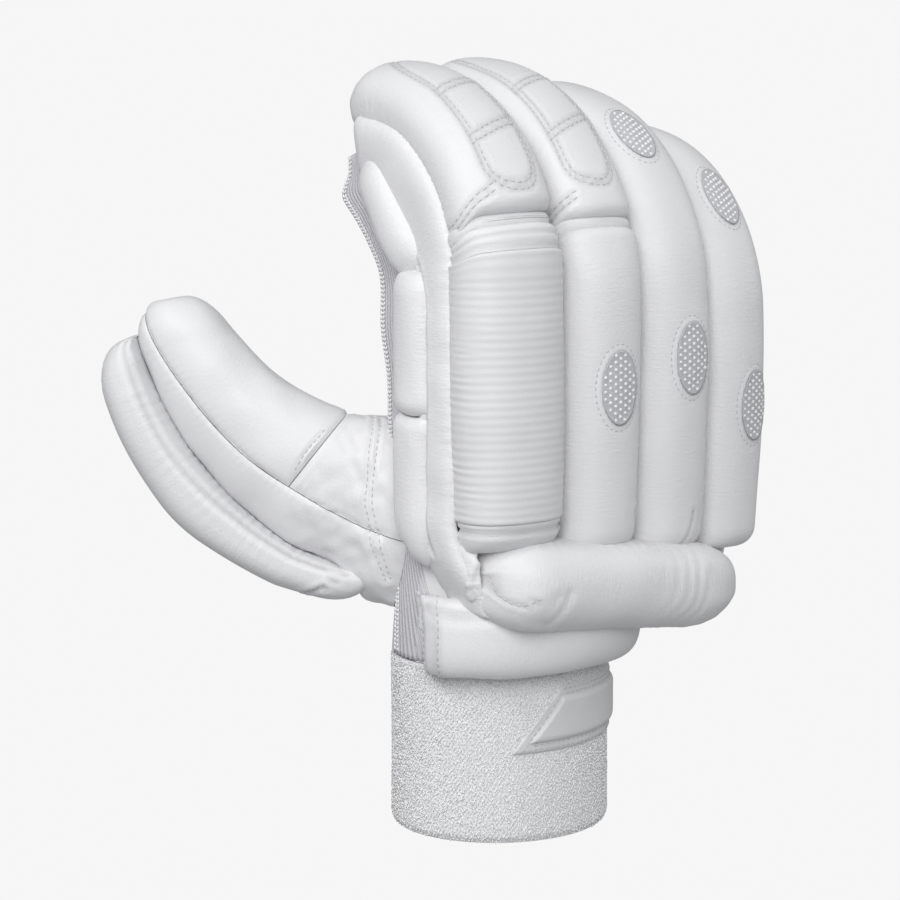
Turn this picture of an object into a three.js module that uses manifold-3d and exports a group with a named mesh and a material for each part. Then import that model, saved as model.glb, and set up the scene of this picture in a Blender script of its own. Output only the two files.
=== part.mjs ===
// A right-hand cricket batting glove in the form it has when worn: fingers curled, thumb spread, cuff down.
// Millimetres. +Z runs from the cuff's mouth to the fingertips, +X to the little finger, -Y out of the back of
// the hand, +Y out of the palm. The origin is the middle of the cuff's mouth, where the wrist goes in.
import * as THREE from "three";
import { mergeVertices } from "three/addons/utils/BufferGeometryUtils.js";
import Module from "manifold-3d";

const wasm = await Module();
wasm.setup();

// Driving dimensions. Lengths are in millimetres and angles in degrees.
const SEAM_GAP = 0.3; // between neighbouring pieces, which the real glove closes with a seam
const LEATHER = 2; // wall of the palm, the finger stalls and the thumb sleeve, with its lining
const FAR = 400; // longer than the glove, for the slabs that part its shells
const SIDES = { roll: 12, panel: 10, bar: 8, cuff: 24, hand: 20, tube: 12 }; // how many sides a section has
// How far apart the sections of each are
const SPACING = { roll: 18, pad: 16, side: 20, panel: 22, stall: 26, sleeve: 17, cutter: 40 };

const CUFF = { width: 82, depth: 67, height: 64, wall: 4.5, hem: 2.5 };
const HAND = { width: 129, depth: 43, height: 124, shift: 25.5, setBack: 8.5, slope: 0.15 };
// The knitted strip between palm and back: distances out of the back, and how it flares towards the wrist
const MESH = { low: -9.5, high: 3.5, flare: 11, flareEnd: 41, deep: 14 };
const TAB = { start: -29, end: 104, slant: 29, low: 33, tall: 23, thick: 1.5, border: 0.16, pad: 1.6 };

const CUFF_PAD = { tall: 26.5, loft: 11, low: 62.5, start: -68, end: 72, rounding: 9, base: 1.2 };
const WRIST_ROLL = {
  length: 108,
  tall: 26,
  loft: 26,
  x: 17.5,
  back: 31,
  up: 88.5,
  tilt: 6.5,
  bow: 3,
  rounding: 14,
};

const FINGERS = {
  index: {
    x: -25, back: 28, width: 37, loft: 21.5,
    knuckle: 198, radius: 50, curl: 102, cant: -8, splay: -1,
  },
  middle: {
    x: 10.2, back: 29.5, width: 32.4, loft: 20.5,
    knuckle: 191, radius: 62, curl: 104, cant: -2.5, splay: 0.4,
  },
  ring: {
    x: 43.2, back: 28.5, width: 32.4, loft: 19.5,
    knuckle: 189, radius: 60, curl: 99, cant: 3, splay: 1.2,
  },
  little: {
    x: 75.4, back: 24.5, width: 30.6, loft: 18.5,
    knuckle: 181, radius: 54, curl: 97, cant: 10, splay: 2.4,
  },
};
// Finger stalls: width as a share of their roll's, depth at root and tip, and how they lie under the rolls
const STALL = { width: 0.74, narrow: 0.9, root: 31, tip: 28, short: 8, below: 28, sink: 0.9, rounding: 10 };
const SEAT = { width: 1.24, deep: 50 }; // of the flat beds of the rolls in the hand's back: width as a share
const SPLIT = { index: 12, middle: 17, gap: 5, bar: 5 }; // past the knuckle, where a roll is made in two
const ROUNDING = { foot: 9, tip: 17, split: 6 }; // of the ends of the finger rolls
const RIBS = { low: 9, high: 8, thick: 1.2, around: 92 }; // the ribbed panel round the index roll
const VENT = { width: 17, length: 28, thick: 1.2, edge: 0.5 };

const SIDE_PANEL = { width: 17, loft: 6.5, out: -0.5, low: 86, short: 7, rounding: 8 };
const SIDE_ROLL = { width: 20, loft: 12, out: -16.5, rounding: 9, low: 103, joint: 151, top: 198 };
// The uppermost side roll, which leans off the line of the other two
const TIP_ROLL = { width: 17, reach: 47, lean: 36, bow: 1.5 };
const OUTER_PANEL = { width: 17, loft: 6, out: -5, low: 90, short: 10, rounding: 8 };

const THUMB = {
  x: -31.2,
  back: -20,
  up: 88.6,
  heading: 42,
  rise: 14,
  radius: 120,
  curl: 63,
  root: 34,
  width: 31.5,
};
const THUMB_GUARD = { start: 9, width: 34, loft: 27.5, rounding: 13 };
// The thumb's sleeve: how far it goes past the guard, and where its base panel ends
const THUMB_SLEEVE = { past: 6, base: 85, rounding: 13, sink: 0.7 };
const BLUNT = { stall: 0.45, sleeve: 0.35 }; // how much of its width a closed tip keeps at its very end

// Materials
const leather = new THREE.MeshStandardMaterial({ color: 0xe9e9ea, roughness: 0.52, metalness: 0 });
const knit = new THREE.MeshStandardMaterial({ color: 0xdfdee6, roughness: 0.9, metalness: 0 });
const towelling = new THREE.MeshStandardMaterial({ color: 0xe4e4e6, roughness: 0.98, metalness: 0 });
const ribbed = new THREE.MeshStandardMaterial({ color: 0xe4e4e6, roughness: 0.6, metalness: 0 });
const dotted = new THREE.MeshStandardMaterial({ color: 0xb9bcc2, roughness: 0.4, metalness: 0.1 });

const glove = new THREE.Group();
glove.name = "batting_glove";

const rad = THREE.MathUtils.degToRad;
const lerp = THREE.MathUtils.lerp;
const handPoint = (x, back, up) => new THREE.Vector3(x, -back, up);
const steps = (count) => Array.from({ length: count + 1 }, (_, i) => i / count);
const turnSteps = (count) => Array.from({ length: count }, (_, i) => (2 * Math.PI * i) / count);
const power = (value, exponent) => Math.sign(value) * Math.abs(value) ** exponent;

// Reads a table whose rows hold shares: the named column at share t, with straight lines between rows.
function column(table, name, t) {
  const last = table.length - 1;
  const found = table.findIndex((row) => row.along >= t);
  const next = found < 0 ? last : Math.max(1, found);
  const [before, after] = [table[next - 1], table[next]];
  const share = THREE.MathUtils.clamp((t - before.along) / (after.along - before.along), 0, 1);
  return lerp(before[name], after[name], share);
}

// A closed solid of points and triangles, turned right side out, that can be cut and joined.
function solid(points, faces) {
  const volume = faces.reduce((sum, [a, b, c]) => {
    return sum + points[a].dot(new THREE.Vector3().crossVectors(points[b], points[c]));
  }, 0);
  const turned = volume < 0 ? faces.map(([a, b, c]) => [a, c, b]) : faces;
  const geometry = new THREE.BufferGeometry();
  geometry.setAttribute("position", new THREE.Float32BufferAttribute(points.flatMap((p) => p.toArray()), 3));
  geometry.setIndex(turned.flat());
  const merged = mergeVertices(geometry, 1e-4);
  return new wasm.Manifold(
    new wasm.Mesh({
      numProp: 3,
      vertProperties: merged.attributes.position.array,
      triVerts: new Uint32Array(merged.index.array),
    }),
  );
}

// The triangles that join each ring of n points to the next one.
function bands(count, n, joined) {
  const faces = [];
  for (let ring = 0; ring < (joined ? count : count - 1); ring++) {
    const [a, b] = [ring * n, ((ring + 1) % count) * n];
    for (let i = 0; i < n; i++) {
      const j = (i + 1) % n;
      faces.push([a + i, a + j, b + j], [a + i, b + j, b + i]);
    }
  }
  return faces;
}

// One closed solid through rings of points. The first and last ring are capped, or joined to each other where
// the rings run up a tube's outside and back down its inside.
function loft(rings, joined = false) {
  const n = rings[0].length;
  const points = rings.flat();
  const faces = bands(rings.length, n, joined);
  const ends = joined ? [] : [0, rings.length - 1];
  for (const end of ends) {
    points.push(rings[end].reduce((sum, p) => sum.add(p), new THREE.Vector3()).divideScalar(n));
    for (let i = 0; i < n; i++) {
      const edge = [end * n + i, end * n + ((i + 1) % n)];
      if (end === 0) edge.reverse();
      faces.push([...edge, points.length - 1]);
    }
  }
  return solid(points, faces);
}

// A patch of leather between two grids of points, outer[row][place] and inner[row][place].
function patch(outer, inner) {
  const rings = outer.map((row, i) => [...row, ...inner[i].slice().reverse()]);
  const n = rings[0].length;
  const faces = bands(rings.length, n, false);
  for (const end of [0, rings.length - 1]) {
    for (let i = 0; i < n / 2 - 1; i++) {
      const quad = [i, i + 1, n - 2 - i, n - 1 - i].map((corner) => end * n + corner);
      if (end === 0) quad.reverse();
      faces.push([quad[0], quad[1], quad[2]], [quad[0], quad[2], quad[3]]);
    }
  }
  return solid(rings.flat(), faces);
}

// Adds a made solid to the glove as a named piece.
function piece(name, made, material) {
  const found = made.getMesh();
  const geometry = new THREE.BufferGeometry();
  geometry.setAttribute("position", new THREE.BufferAttribute(found.vertProperties, 3));
  geometry.setIndex(new THREE.BufferAttribute(found.triVerts, 1));
  geometry.computeVertexNormals();
  const mesh = new THREE.Mesh(geometry, material);
  mesh.name = name;
  glove.add(mesh);
}

// The largest body of a cut piece, so that no sliver is left beside it.
const largest = (made) => made.decompose().sort((a, b) => b.volume() - a.volume())[0];

// Section of a pad that is sewn down flat, as [across, out] at an angle, lifted off the pad by some distance.
const PILLOW = { reach: 0.38, under: 3.4, over: 2.25 }; // where it is widest, and how square it is
function pillowPoint(width, high, angle, lift = 0) {
  const [c, s] = [Math.cos(angle), Math.sin(angle)];
  const centre = high * PILLOW.reach;
  const square = s < 0 ? PILLOW.under : PILLOW.over;
  const [a, b] = [width / 2, s < 0 ? centre : high - centre];
  const normal = [power(c, 2 - 2 / square) / a, power(s, 2 - 2 / square) / b];
  const scale = lift / Math.hypot(...normal);
  return [a * power(c, 2 / square) + normal[0] * scale, centre + b * power(s, 2 / square) + normal[1] * scale];
}

// Section of a tube round a centre at some height, as [across, out] pairs: squarer the higher its power
const SQUARE = { stall: 2.5, sleeve: 2.2 };
function oval(width, depth, centre, square, sides) {
  return turnSteps(sides).map((angle) => [
    (width / 2) * power(Math.cos(angle), 2 / square),
    centre + (depth / 2) * power(Math.sin(angle), 2 / square),
  ]);
}

// The spine of a finger or thumb: the line along its back that its padding is sewn to. It starts straight and
// then curls. At each length it gives the point, and the ways along, across and out of the back.
function spine({ foot, start, curlWay, straight, radius, cant = 0 }) {
  const turn = rad(cant);
  return (length) => {
    const angle = Math.max(0, length - straight) / radius;
    const [c, s] = [Math.cos(angle), Math.sin(angle)];
    const point = foot.clone().addScaledVector(start, Math.min(length, straight));
    point.addScaledVector(start, radius * s).addScaledVector(curlWay, radius * (1 - c));
    const along = start.clone().multiplyScalar(c).addScaledVector(curlWay, s);
    const back = start.clone().multiplyScalar(s).addScaledVector(curlWay, -c);
    const side = new THREE.Vector3().crossVectors(along, back);
    const out = back.clone().multiplyScalar(Math.cos(turn)).addScaledVector(side, Math.sin(turn));
    const across = side.multiplyScalar(Math.cos(turn)).addScaledVector(back, -Math.sin(turn));
    return { point, along, across, out };
  };
}

const place = (frame, [across, out]) =>
  frame.point.clone().addScaledVector(frame.across, across).addScaledVector(frame.out, out);

// A line of frames moved sideways off another one, facing right or left of it instead of out.
function sideLine(line, side, away, out) {
  return (length) => {
    const frame = line(length);
    const point = place(frame, [side * away, out]);
    return { point, along: frame.along, across: frame.out, out: frame.across.multiplyScalar(side) };
  };
}

// A nearly straight line about a middle point, of some reach, whose ends bow back from its outward way
function bowedLine({ middle, way, outWay, reach, bow }) {
  return (length) => {
    const share = (2 * length) / reach - 1;
    const point = middle.clone().addScaledVector(way, (share * reach) / 2);
    point.addScaledVector(outWay, -bow * share ** 2);
    const along = way.clone().addScaledVector(outWay, (-4 * bow * share) / reach).normalize();
    const out = outWay.clone().addScaledVector(along, -outWay.dot(along)).normalize();
    return { point, along, across: new THREE.Vector3().crossVectors(along, out), out };
  };
}

// How far a rounded end has filled out, from 0 at its tip to 1 where the rounding ends
function filled(distance, rounding) {
  return Math.sqrt(1 - (1 - THREE.MathUtils.clamp(distance / rounding, 0, 1)) ** 2);
}

// Lengths at which a pad's sections stand: close together in the rounded ends, even between them
const END_STEPS = [0, 0.14, 0.5];
function stations(from, to, startRounding, endRounding, spacing) {
  const middle = Math.max(1, Math.round((to - from - startRounding - endRounding) / spacing));
  return [
    ...END_STEPS.map((share) => from + share * startRounding),
    ...steps(middle).map((share) => lerp(from + startRounding, to - endRounding, share)),
    ...END_STEPS.map((share) => to - share * endRounding).reverse(),
  ];
}

// A stuffed roll, sewn along a line from one length to another. Its ends fall off in loft, less in width. One
// that hangs by 1 has its edge on the line and not its middle, and one that is sunk lies deeper than the line.
const END = { wide: 0.62, high: 0.32 };
const EVEN = [
  { along: 0, wide: 1, high: 1 },
  { along: 1, wide: 1, high: 1 },
];
function rollSection(size, length) {
  const share = (length - size.from) / (size.to - size.from);
  const first = filled(length - size.from, size.startRounding);
  const end = Math.min(first, filled(size.to - length, size.endRounding));
  const width = size.width * column(size.shape, "wide", share) * lerp(END.wide, 1, end);
  const frame = size.line(length);
  frame.point.addScaledVector(frame.out, -(size.sink ?? 0));
  frame.point.addScaledVector(frame.across, (-(size.hang ?? 0) * width) / 2);
  return { frame, width, high: size.loft * column(size.shape, "high", share) * lerp(END.high, 1, end) };
}

function roll(size, sides = SIDES.roll, spacing = SPACING.roll) {
  const rings = stations(size.from, size.to, size.startRounding, size.endRounding, spacing).map((length) => {
    const { frame, width, high } = rollSection(size, length);
    return turnSteps(sides).map((angle) => place(frame, pillowPoint(width, high, angle)));
  });
  return loft(rings);
}

// A roll's size with every face moved out by the seam gap, for the cut that it makes in its neighbours
const grown = (size) => ({
  ...size,
  from: size.from - SEAM_GAP,
  to: size.to + SEAM_GAP,
  width: size.width + 2 * SEAM_GAP,
  loft: size.loft + 2 * SEAM_GAP,
  sink: SEAM_GAP,
});

// A point on a roll, at degrees from its crown towards the little finger's side, lifted off its face.
function onRoll(size, length, degrees, lift) {
  const { frame, width, high } = rollSection(size, length);
  return place(frame, pillowPoint(width, high, Math.PI / 2 - rad(degrees), lift));
}

// Cuff: a knitted towelling tube round the wrist
const CUFF_ROWS = [
  { along: 0, inset: 1 },
  { along: 0.04, inset: 0 },
  { along: 0.5, inset: 0.2 },
  { along: 1, inset: 0 },
];
function cuffRing(width, depth, up) {
  return oval(width, depth, 0, 2, SIDES.cuff).map(([x, back]) => handPoint(x, back, up));
}
const cuffOutside = CUFF_ROWS.map(({ along, inset }) => {
  return cuffRing(CUFF.width - CUFF.hem * inset, CUFF.depth - CUFF.hem * inset, CUFF.height * along);
});
const cuffInside = [CUFF.height, 0].map((up) => {
  return cuffRing(CUFF.width - 2 * CUFF.wall, CUFF.depth - 2 * CUFF.wall, up);
});
piece("wrist_cuff", loft([...cuffOutside, ...cuffInside], true), towelling);

// A point off the cuff's outer face, at degrees from the middle of its back towards the little finger
function onCuff(degrees, up, lift) {
  const angle = rad(degrees);
  return handPoint((CUFF.width / 2 + lift) * Math.sin(angle), (CUFF.depth / 2 + lift) * Math.cos(angle), up);
}

// Closure tab: a stitched leather strap end round the cuff's back, slanted at its ends, with a padded middle
function tabGrid(border, lift) {
  const tall = TAB.tall * (1 - 2 * border);
  return steps(3).map((rise) =>
    steps(12).map((share) => {
      const slant = TAB.slant * (border + rise * (1 - 2 * border));
      const inner = TAB.slant * border;
      const from = TAB.start + slant + inner;
      const to = TAB.end - slant - inner;
      return onCuff(lerp(from, to, share), TAB.low + TAB.tall * border + tall * rise, lift);
    }),
  );
}
const tabLift = SEAM_GAP + TAB.thick;
piece("closure_tab", patch(tabGrid(0, tabLift), tabGrid(0, SEAM_GAP)), leather);
const padLift = tabLift + 2 * SEAM_GAP;
piece("closure_pad", patch(tabGrid(TAB.border, padLift + TAB.pad), tabGrid(TAB.border, padLift)), leather);

// Hand: the block that palm, back and side strips are parted from. It widens from the cuff to the knuckles.
const HAND_ROWS = [
  { along: 0, open: 0, square: 2 },
  { along: 0.12, open: 0.16, square: 2.2 },
  { along: 0.28, open: 0.46, square: 2.6 },
  { along: 0.46, open: 0.76, square: 3 },
  { along: 0.68, open: 0.95, square: 3.2 },
  { along: 1, open: 1, square: 3.2 },
];
const handLow = CUFF.height + SEAM_GAP;

// grow moves the block's faces out, and a negative grow makes its inside. reach lengthens its open low end.
function handBlock(grow, reach = 0) {
  const rings = HAND_ROWS.map(({ along, open, square }, row) => {
    const width = lerp(CUFF.width, HAND.width, open) + 2 * grow;
    const depth = lerp(CUFF.depth, HAND.depth, open) + 2 * grow;
    const up = handLow + HAND.height * along + (row ? grow * along : -reach);
    return oval(width, depth, 0, square, SIDES.hand).map(([x, back]) => {
      const fall = HAND.slope * (x + HAND.shift * open) * along;
      return handPoint(x + HAND.shift * open, back + HAND.setBack * open, up - fall);
    });
  });
  return loft(rings);
}
const handGrown = handBlock(SEAM_GAP);

// Wrist roll: a stuffed roll across the back of the wrist, tilted down towards the little finger
const wristRollUp = (x) => WRIST_ROLL.up - (x - WRIST_ROLL.x) * Math.tan(rad(WRIST_ROLL.tilt));
const WRIST_SHAPE = [
  { along: 0, wide: 0.9, high: 0.95 },
  { along: 0.3, wide: 1, high: 1 },
  { along: 0.7, wide: 1.02, high: 1 },
  { along: 1, wide: 0.88, high: 0.9 },
];
const wristTilt = rad(WRIST_ROLL.tilt);
const wristLine = bowedLine({
  middle: handPoint(WRIST_ROLL.x, WRIST_ROLL.back, WRIST_ROLL.up),
  way: new THREE.Vector3(Math.cos(wristTilt), 0, -Math.sin(wristTilt)),
  outWay: new THREE.Vector3(0, -1, 0),
  reach: WRIST_ROLL.length,
  bow: WRIST_ROLL.bow,
});
const wristSize = {
  line: wristLine,
  from: 0,
  to: WRIST_ROLL.length,
  width: WRIST_ROLL.tall,
  loft: WRIST_ROLL.loft,
  startRounding: WRIST_ROLL.rounding,
  endRounding: WRIST_ROLL.rounding,
  shape: WRIST_SHAPE,
};
piece("wrist_roll", roll(wristSize).subtract(handGrown), leather);

// Cuff pad: a pad round the back of the wrist, under the wrist roll
const cuffPadLength = ((CUFF.width + CUFF.depth) / 4) * rad(CUFF_PAD.end - CUFF_PAD.start);
function cuffPadLine(length) {
  const degrees = lerp(CUFF_PAD.start, CUFF_PAD.end, length / cuffPadLength);
  const angle = rad(degrees);
  const point = onCuff(degrees, CUFF_PAD.low + CUFF_PAD.tall / 2, CUFF_PAD.base);
  const out = handPoint(CUFF.depth * Math.sin(angle), CUFF.width * Math.cos(angle), 0).normalize();
  const across = new THREE.Vector3(0, 0, 1);
  return { point, along: new THREE.Vector3().crossVectors(out, across), across, out };
}
const cuffPadSize = {
  line: cuffPadLine,
  from: 0,
  to: cuffPadLength,
  width: CUFF_PAD.tall,
  loft: CUFF_PAD.loft,
  startRounding: CUFF_PAD.rounding,
  endRounding: CUFF_PAD.rounding,
  shape: EVEN,
};
const cuffPadWhole = roll(cuffPadSize, SIDES.roll, SPACING.pad);
const cuffPadBeside = cuffPadWhole.subtract(handGrown).subtract(roll(grown(wristSize)));

// Fingers: each has a spine, a stall that the finger goes in, and stuffed rolls on its back
const FINGER_SHAPE = [
  { along: 0, wide: 0.95, high: 0.96 },
  { along: 0.2, wide: 1, high: 1.02 },
  { along: 0.5, wide: 1.01, high: 1 },
  { along: 0.8, wide: 0.96, high: 1 },
  { along: 1, wide: 0.88, high: 0.95 },
];
function makeFinger(size) {
  const lean = rad(size.splay);
  const footUp = wristRollUp(size.x) + WRIST_ROLL.tall / 2 + SEAM_GAP;
  const bend = {
    foot: handPoint(size.x, size.back, footUp),
    start: new THREE.Vector3(Math.sin(lean), 0, Math.cos(lean)),
    curlWay: new THREE.Vector3(0, 1, 0),
    straight: size.knuckle - footUp,
    radius: size.radius,
  };
  const end = bend.straight + size.radius * rad(size.curl);
  const line = spine({ ...bend, cant: size.cant });
  const upright = spine({ ...bend, start: new THREE.Vector3(0, 0, 1) });
  return { ...size, footUp, straight: bend.straight, end, line, upright };
}
const fingers = Object.fromEntries(Object.entries(FINGERS).map(([name, size]) => [name, makeFinger(size)]));
const eachFinger = Object.values(fingers);

// The stretch of a finger's padding between two lengths, with the shape that the whole padding has there
function fingerRoll(finger, from, to, startRounding, endRounding) {
  const shape = FINGER_SHAPE.map(({ along }) => {
    const share = lerp(from, to, along) / finger.end;
    return { along, wide: column(FINGER_SHAPE, "wide", share), high: column(FINGER_SHAPE, "high", share) };
  });
  const { line, width, loft: high } = finger;
  return { line, from, to, width, loft: high, startRounding, endRounding, shape };
}

// A finger stall's outside, or with an inset its inside. It starts below the knuckles, in the hand.
function stallTube(finger, inset) {
  const from = finger.straight - STALL.below;
  const to = finger.end - STALL.short - inset;
  const rings = stations(from, to, 1, STALL.rounding, SPACING.stall).map((length) => {
    const share = (length - from) / (to - from);
    const depth = lerp(STALL.root, STALL.tip, share);
    const end = lerp(BLUNT.stall, 1, filled(to - length, STALL.rounding));
    const width = (finger.width * STALL.width * lerp(1, STALL.narrow, share) - 2 * inset) * end;
    const section = oval(width, (depth - 2 * inset) * end, -STALL.sink - depth / 2, SQUARE.stall, SIDES.tube);
    const frame = finger.line(length);
    return section.map((pair) => place(frame, pair));
  });
  return loft(rings);
}

// The flat seats of the rolls, cut into the hand's back and sunk by some depth
function seat(finger, sink) {
  const half = (finger.width * SEAT.width) / 2;
  const corners = [[-half, -sink], [half, -sink], [half, SEAT.deep], [-half, SEAT.deep]];
  const rings = [-SEAT.deep, finger.straight, finger.straight + finger.loft].map((length) => {
    const frame = finger.line(length);
    return corners.map((pair) => place(frame, pair));
  });
  return loft(rings);
}
const seats = (sink) => eachFinger.map((finger) => seat(finger, sink)).reduce((all, one) => all.add(one));

for (const [name, finger] of Object.entries(fingers)) {
  const stall = stallTube(finger, 0).subtract(stallTube(finger, LEATHER)).subtract(handGrown);
  piece(`${name}_stall`, largest(stall), leather);
}

// Index and middle rolls are made in two, with a narrow hinge bar between; ring and little are made in one
const rolls = {};
for (const name of ["index", "middle"]) {
  const finger = fingers[name];
  const split = finger.straight + SPLIT[name];
  const over = split + SPLIT.gap;
  rolls[`${name}_lower_roll`] = fingerRoll(finger, 0, split, ROUNDING.foot, ROUNDING.split);
  rolls[`${name}_tip_roll`] = fingerRoll(finger, over, finger.end, ROUNDING.split, ROUNDING.tip);
  const bar = fingerRoll(finger, split + SEAM_GAP, over - SEAM_GAP, SPLIT.gap / 2, SPLIT.gap / 2);
  rolls[`${name}_hinge`] = { ...bar, loft: SPLIT.bar };
}
rolls.ring_roll = fingerRoll(fingers.ring, 0, fingers.ring.end, ROUNDING.foot, ROUNDING.tip);
rolls.little_roll = fingerRoll(fingers.little, 0, fingers.little.end, ROUNDING.foot, ROUNDING.tip);
for (const [name, size] of Object.entries(rolls)) {
  piece(name, roll(size, name.endsWith("hinge") ? SIDES.bar : SIDES.roll), leather);
}

// Ribbed panel: a ribbed cloth sewn round the index finger's lower roll, on its back and sides
function ribGrid(lift) {
  const size = rolls.index_lower_roll;
  return steps(5).map((share) => {
    const length = lerp(size.from + RIBS.low, size.to - RIBS.high, share);
    const angles = steps(SIDES.roll).map((around) => lerp(-RIBS.around, RIBS.around, around));
    return angles.map((angle) => onRoll(size, length, angle, lift));
  });
}
piece("index_ribbed_panel", patch(ribGrid(SEAM_GAP + RIBS.thick), ribGrid(SEAM_GAP)), ribbed);

// Vents: oval dotted patches on the crowns of the rolls, as the share of the roll's length where each sits
const VENTS = {
  middle_vent: { on: "middle_lower_roll", along: 0.53, degrees: -4 },
  ring_lower_vent: { on: "ring_roll", along: 0.35, degrees: -4 },
  ring_upper_vent: { on: "ring_roll", along: 0.73, degrees: -4 },
  little_lower_vent: { on: "little_roll", along: 0.3, degrees: -4 },
  little_upper_vent: { on: "little_roll", along: 0.68, degrees: -4 },
};
const VENT_RINGS = [0.25, 1];
function ventPatch({ on, along, degrees }) {
  const size = rolls[on];
  const middle = lerp(size.from, size.to, along);
  const { width, high } = rollSection(size, middle);
  const perDegree = rad((width + 2 * high) / 4);
  const ring = (share, lift) =>
    turnSteps(SIDES.roll).map((angle) => {
      const length = middle + (VENT.length / 2) * share * Math.sin(angle);
      const across = (VENT.width / 2) * share * Math.cos(angle);
      return onRoll(size, length, degrees + across / perDegree, lift);
    });
  const dome = (share) => SEAM_GAP + lerp(VENT.thick, VENT.edge, share ** 3);
  return loft([
    ...VENT_RINGS.map((share) => ring(share, SEAM_GAP)),
    ...VENT_RINGS.map((share) => ring(share, dome(share))).reverse(),
  ]);
}
for (const [name, vent] of Object.entries(VENTS)) piece(name, ventPatch(vent), dotted);

// Side rolls and side panels, up the index finger's side and, plainer, up the little finger's side
const handLeft = Math.min(HAND.shift - HAND.width / 2, -CUFF.width / 2);
const handRight = HAND.shift + HAND.width / 2;
const indexSide = (out) => sideLine(fingers.index.upright, -1, fingers.index.x - handLeft + SEAM_GAP, out);
const littleSide = (out) => sideLine(fingers.little.upright, 1, handRight + SEAM_GAP - fingers.little.x, out);
const indexLength = (up) => up - fingers.index.footUp;

const tipLean = rad(TIP_ROLL.lean);
const tipWay = new THREE.Vector3(0, Math.sin(tipLean), Math.cos(tipLean));
const tipLow = place(indexSide(SIDE_ROLL.out)(indexLength(SIDE_ROLL.top + SEAM_GAP)), [0, 0]);
const tipLine = bowedLine({
  middle: tipLow.clone().addScaledVector(tipWay, TIP_ROLL.reach / 2),
  way: tipWay,
  outWay: new THREE.Vector3(-1, 0, 0),
  reach: TIP_ROLL.reach,
  bow: TIP_ROLL.bow,
});
const sideSize = {
  line: indexSide(SIDE_ROLL.out),
  width: SIDE_ROLL.width,
  loft: SIDE_ROLL.loft,
  startRounding: SIDE_ROLL.rounding,
  endRounding: SIDE_ROLL.rounding,
  shape: EVEN,
};
const sideRolls = {
  side_roll_lower: {
    ...sideSize,
    from: indexLength(SIDE_ROLL.low),
    to: indexLength(SIDE_ROLL.joint) - SEAM_GAP,
  },
  side_roll_middle: { ...sideSize, from: indexLength(SIDE_ROLL.joint), to: indexLength(SIDE_ROLL.top) },
  side_roll_upper: { ...sideSize, line: tipLine, from: 0, to: TIP_ROLL.reach, width: TIP_ROLL.width },
};
const besideTip = roll(grown(sideRolls.side_roll_middle), SIDES.roll, SPACING.side);
for (const [name, size] of Object.entries(sideRolls)) {
  const made = roll(size, SIDES.roll, SPACING.side);
  piece(name, name === "side_roll_upper" ? largest(made.subtract(besideTip)) : made, leather);
}
const sideRollsGrown = Object.values(sideRolls)
  .map((size) => roll(grown(size), SIDES.roll, SPACING.cutter))
  .reduce((all, one) => all.add(one));

const PANEL_SHAPE = [
  { along: 0, wide: 0.9, high: 0.8 },
  { along: 0.15, wide: 1, high: 1 },
  { along: 0.6, wide: 1, high: 1 },
  { along: 0.8, wide: 1.3, high: 1.2 },
  { along: 1, wide: 1.1, high: 1 },
];
function sidePanel(size, line, finger) {
  return {
    line,
    from: size.low - finger.footUp,
    to: finger.end - size.short,
    width: size.width,
    loft: size.loft,
    startRounding: size.rounding,
    endRounding: size.rounding,
    shape: PANEL_SHAPE,
    hang: 1,
  };
}
const indexPanel = sidePanel(SIDE_PANEL, indexSide(SIDE_PANEL.out), fingers.index);
const outerPanel = sidePanel(OUTER_PANEL, littleSide(OUTER_PANEL.out), fingers.little);
const indexPanelWhole = roll(indexPanel, SIDES.panel, SPACING.panel);
piece("index_side_panel", largest(indexPanelWhole.subtract(sideRollsGrown)), leather);
piece("cuff_pad", largest(cuffPadBeside.subtract(roll(grown(indexPanel)))), leather);
piece("outer_side_panel", roll(outerPanel, SIDES.panel, SPACING.panel), leather);

// Thumb: its spine runs out of the palm's side and curls up. Its back faces down, away from the fingers.
const heading = rad(THUMB.heading);
const rise = rad(THUMB.rise);
const outward = handPoint(-Math.cos(heading), -Math.sin(heading), 0);
const upward = new THREE.Vector3(0, 0, 1);
const thumbStart = outward.clone().multiplyScalar(Math.cos(rise)).addScaledVector(upward, Math.sin(rise));
const thumbCurl = outward.clone().multiplyScalar(-Math.sin(rise)).addScaledVector(upward, Math.cos(rise));
const thumbLine = spine({
  foot: handPoint(THUMB.x, THUMB.back, THUMB.up).addScaledVector(thumbStart, -THUMB.root),
  start: thumbStart,
  curlWay: thumbCurl,
  straight: THUMB.root,
  radius: THUMB.radius,
});
const thumbEnd = THUMB.root + THUMB.radius * rad(THUMB.curl);
const sleeveEnd = thumbEnd + THUMB_SLEEVE.past;

// The thumb sleeve's depth inwards from its back seam, its width, and how deep its gusset is, as shares of the
// thumb's width, along the sleeve from its root in the hand to its tip
const SLEEVE_SHAPE = [
  { along: 0, deep: 1.7, wide: 1.15, gusset: 0.54 },
  { along: 0.2, deep: 1.9, wide: 1.15, gusset: 0.54 },
  { along: 0.34, deep: 1.82, wide: 1.08, gusset: 0.54 },
  { along: 0.45, deep: 1.5, wide: 1, gusset: 0.53 },
  { along: 0.6, deep: 1.27, wide: 1, gusset: 0.42 },
  { along: 0.8, deep: 1.02, wide: 0.96, gusset: 0.28 },
  { along: 0.92, deep: 0.9, wide: 0.86, gusset: 0.12 },
  { along: 1, deep: 0.72, wide: 0.72, gusset: 0.02 },
];
const sleeveAt = (name, length) => THUMB.width * column(SLEEVE_SHAPE, name, length / sleeveEnd);

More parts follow.
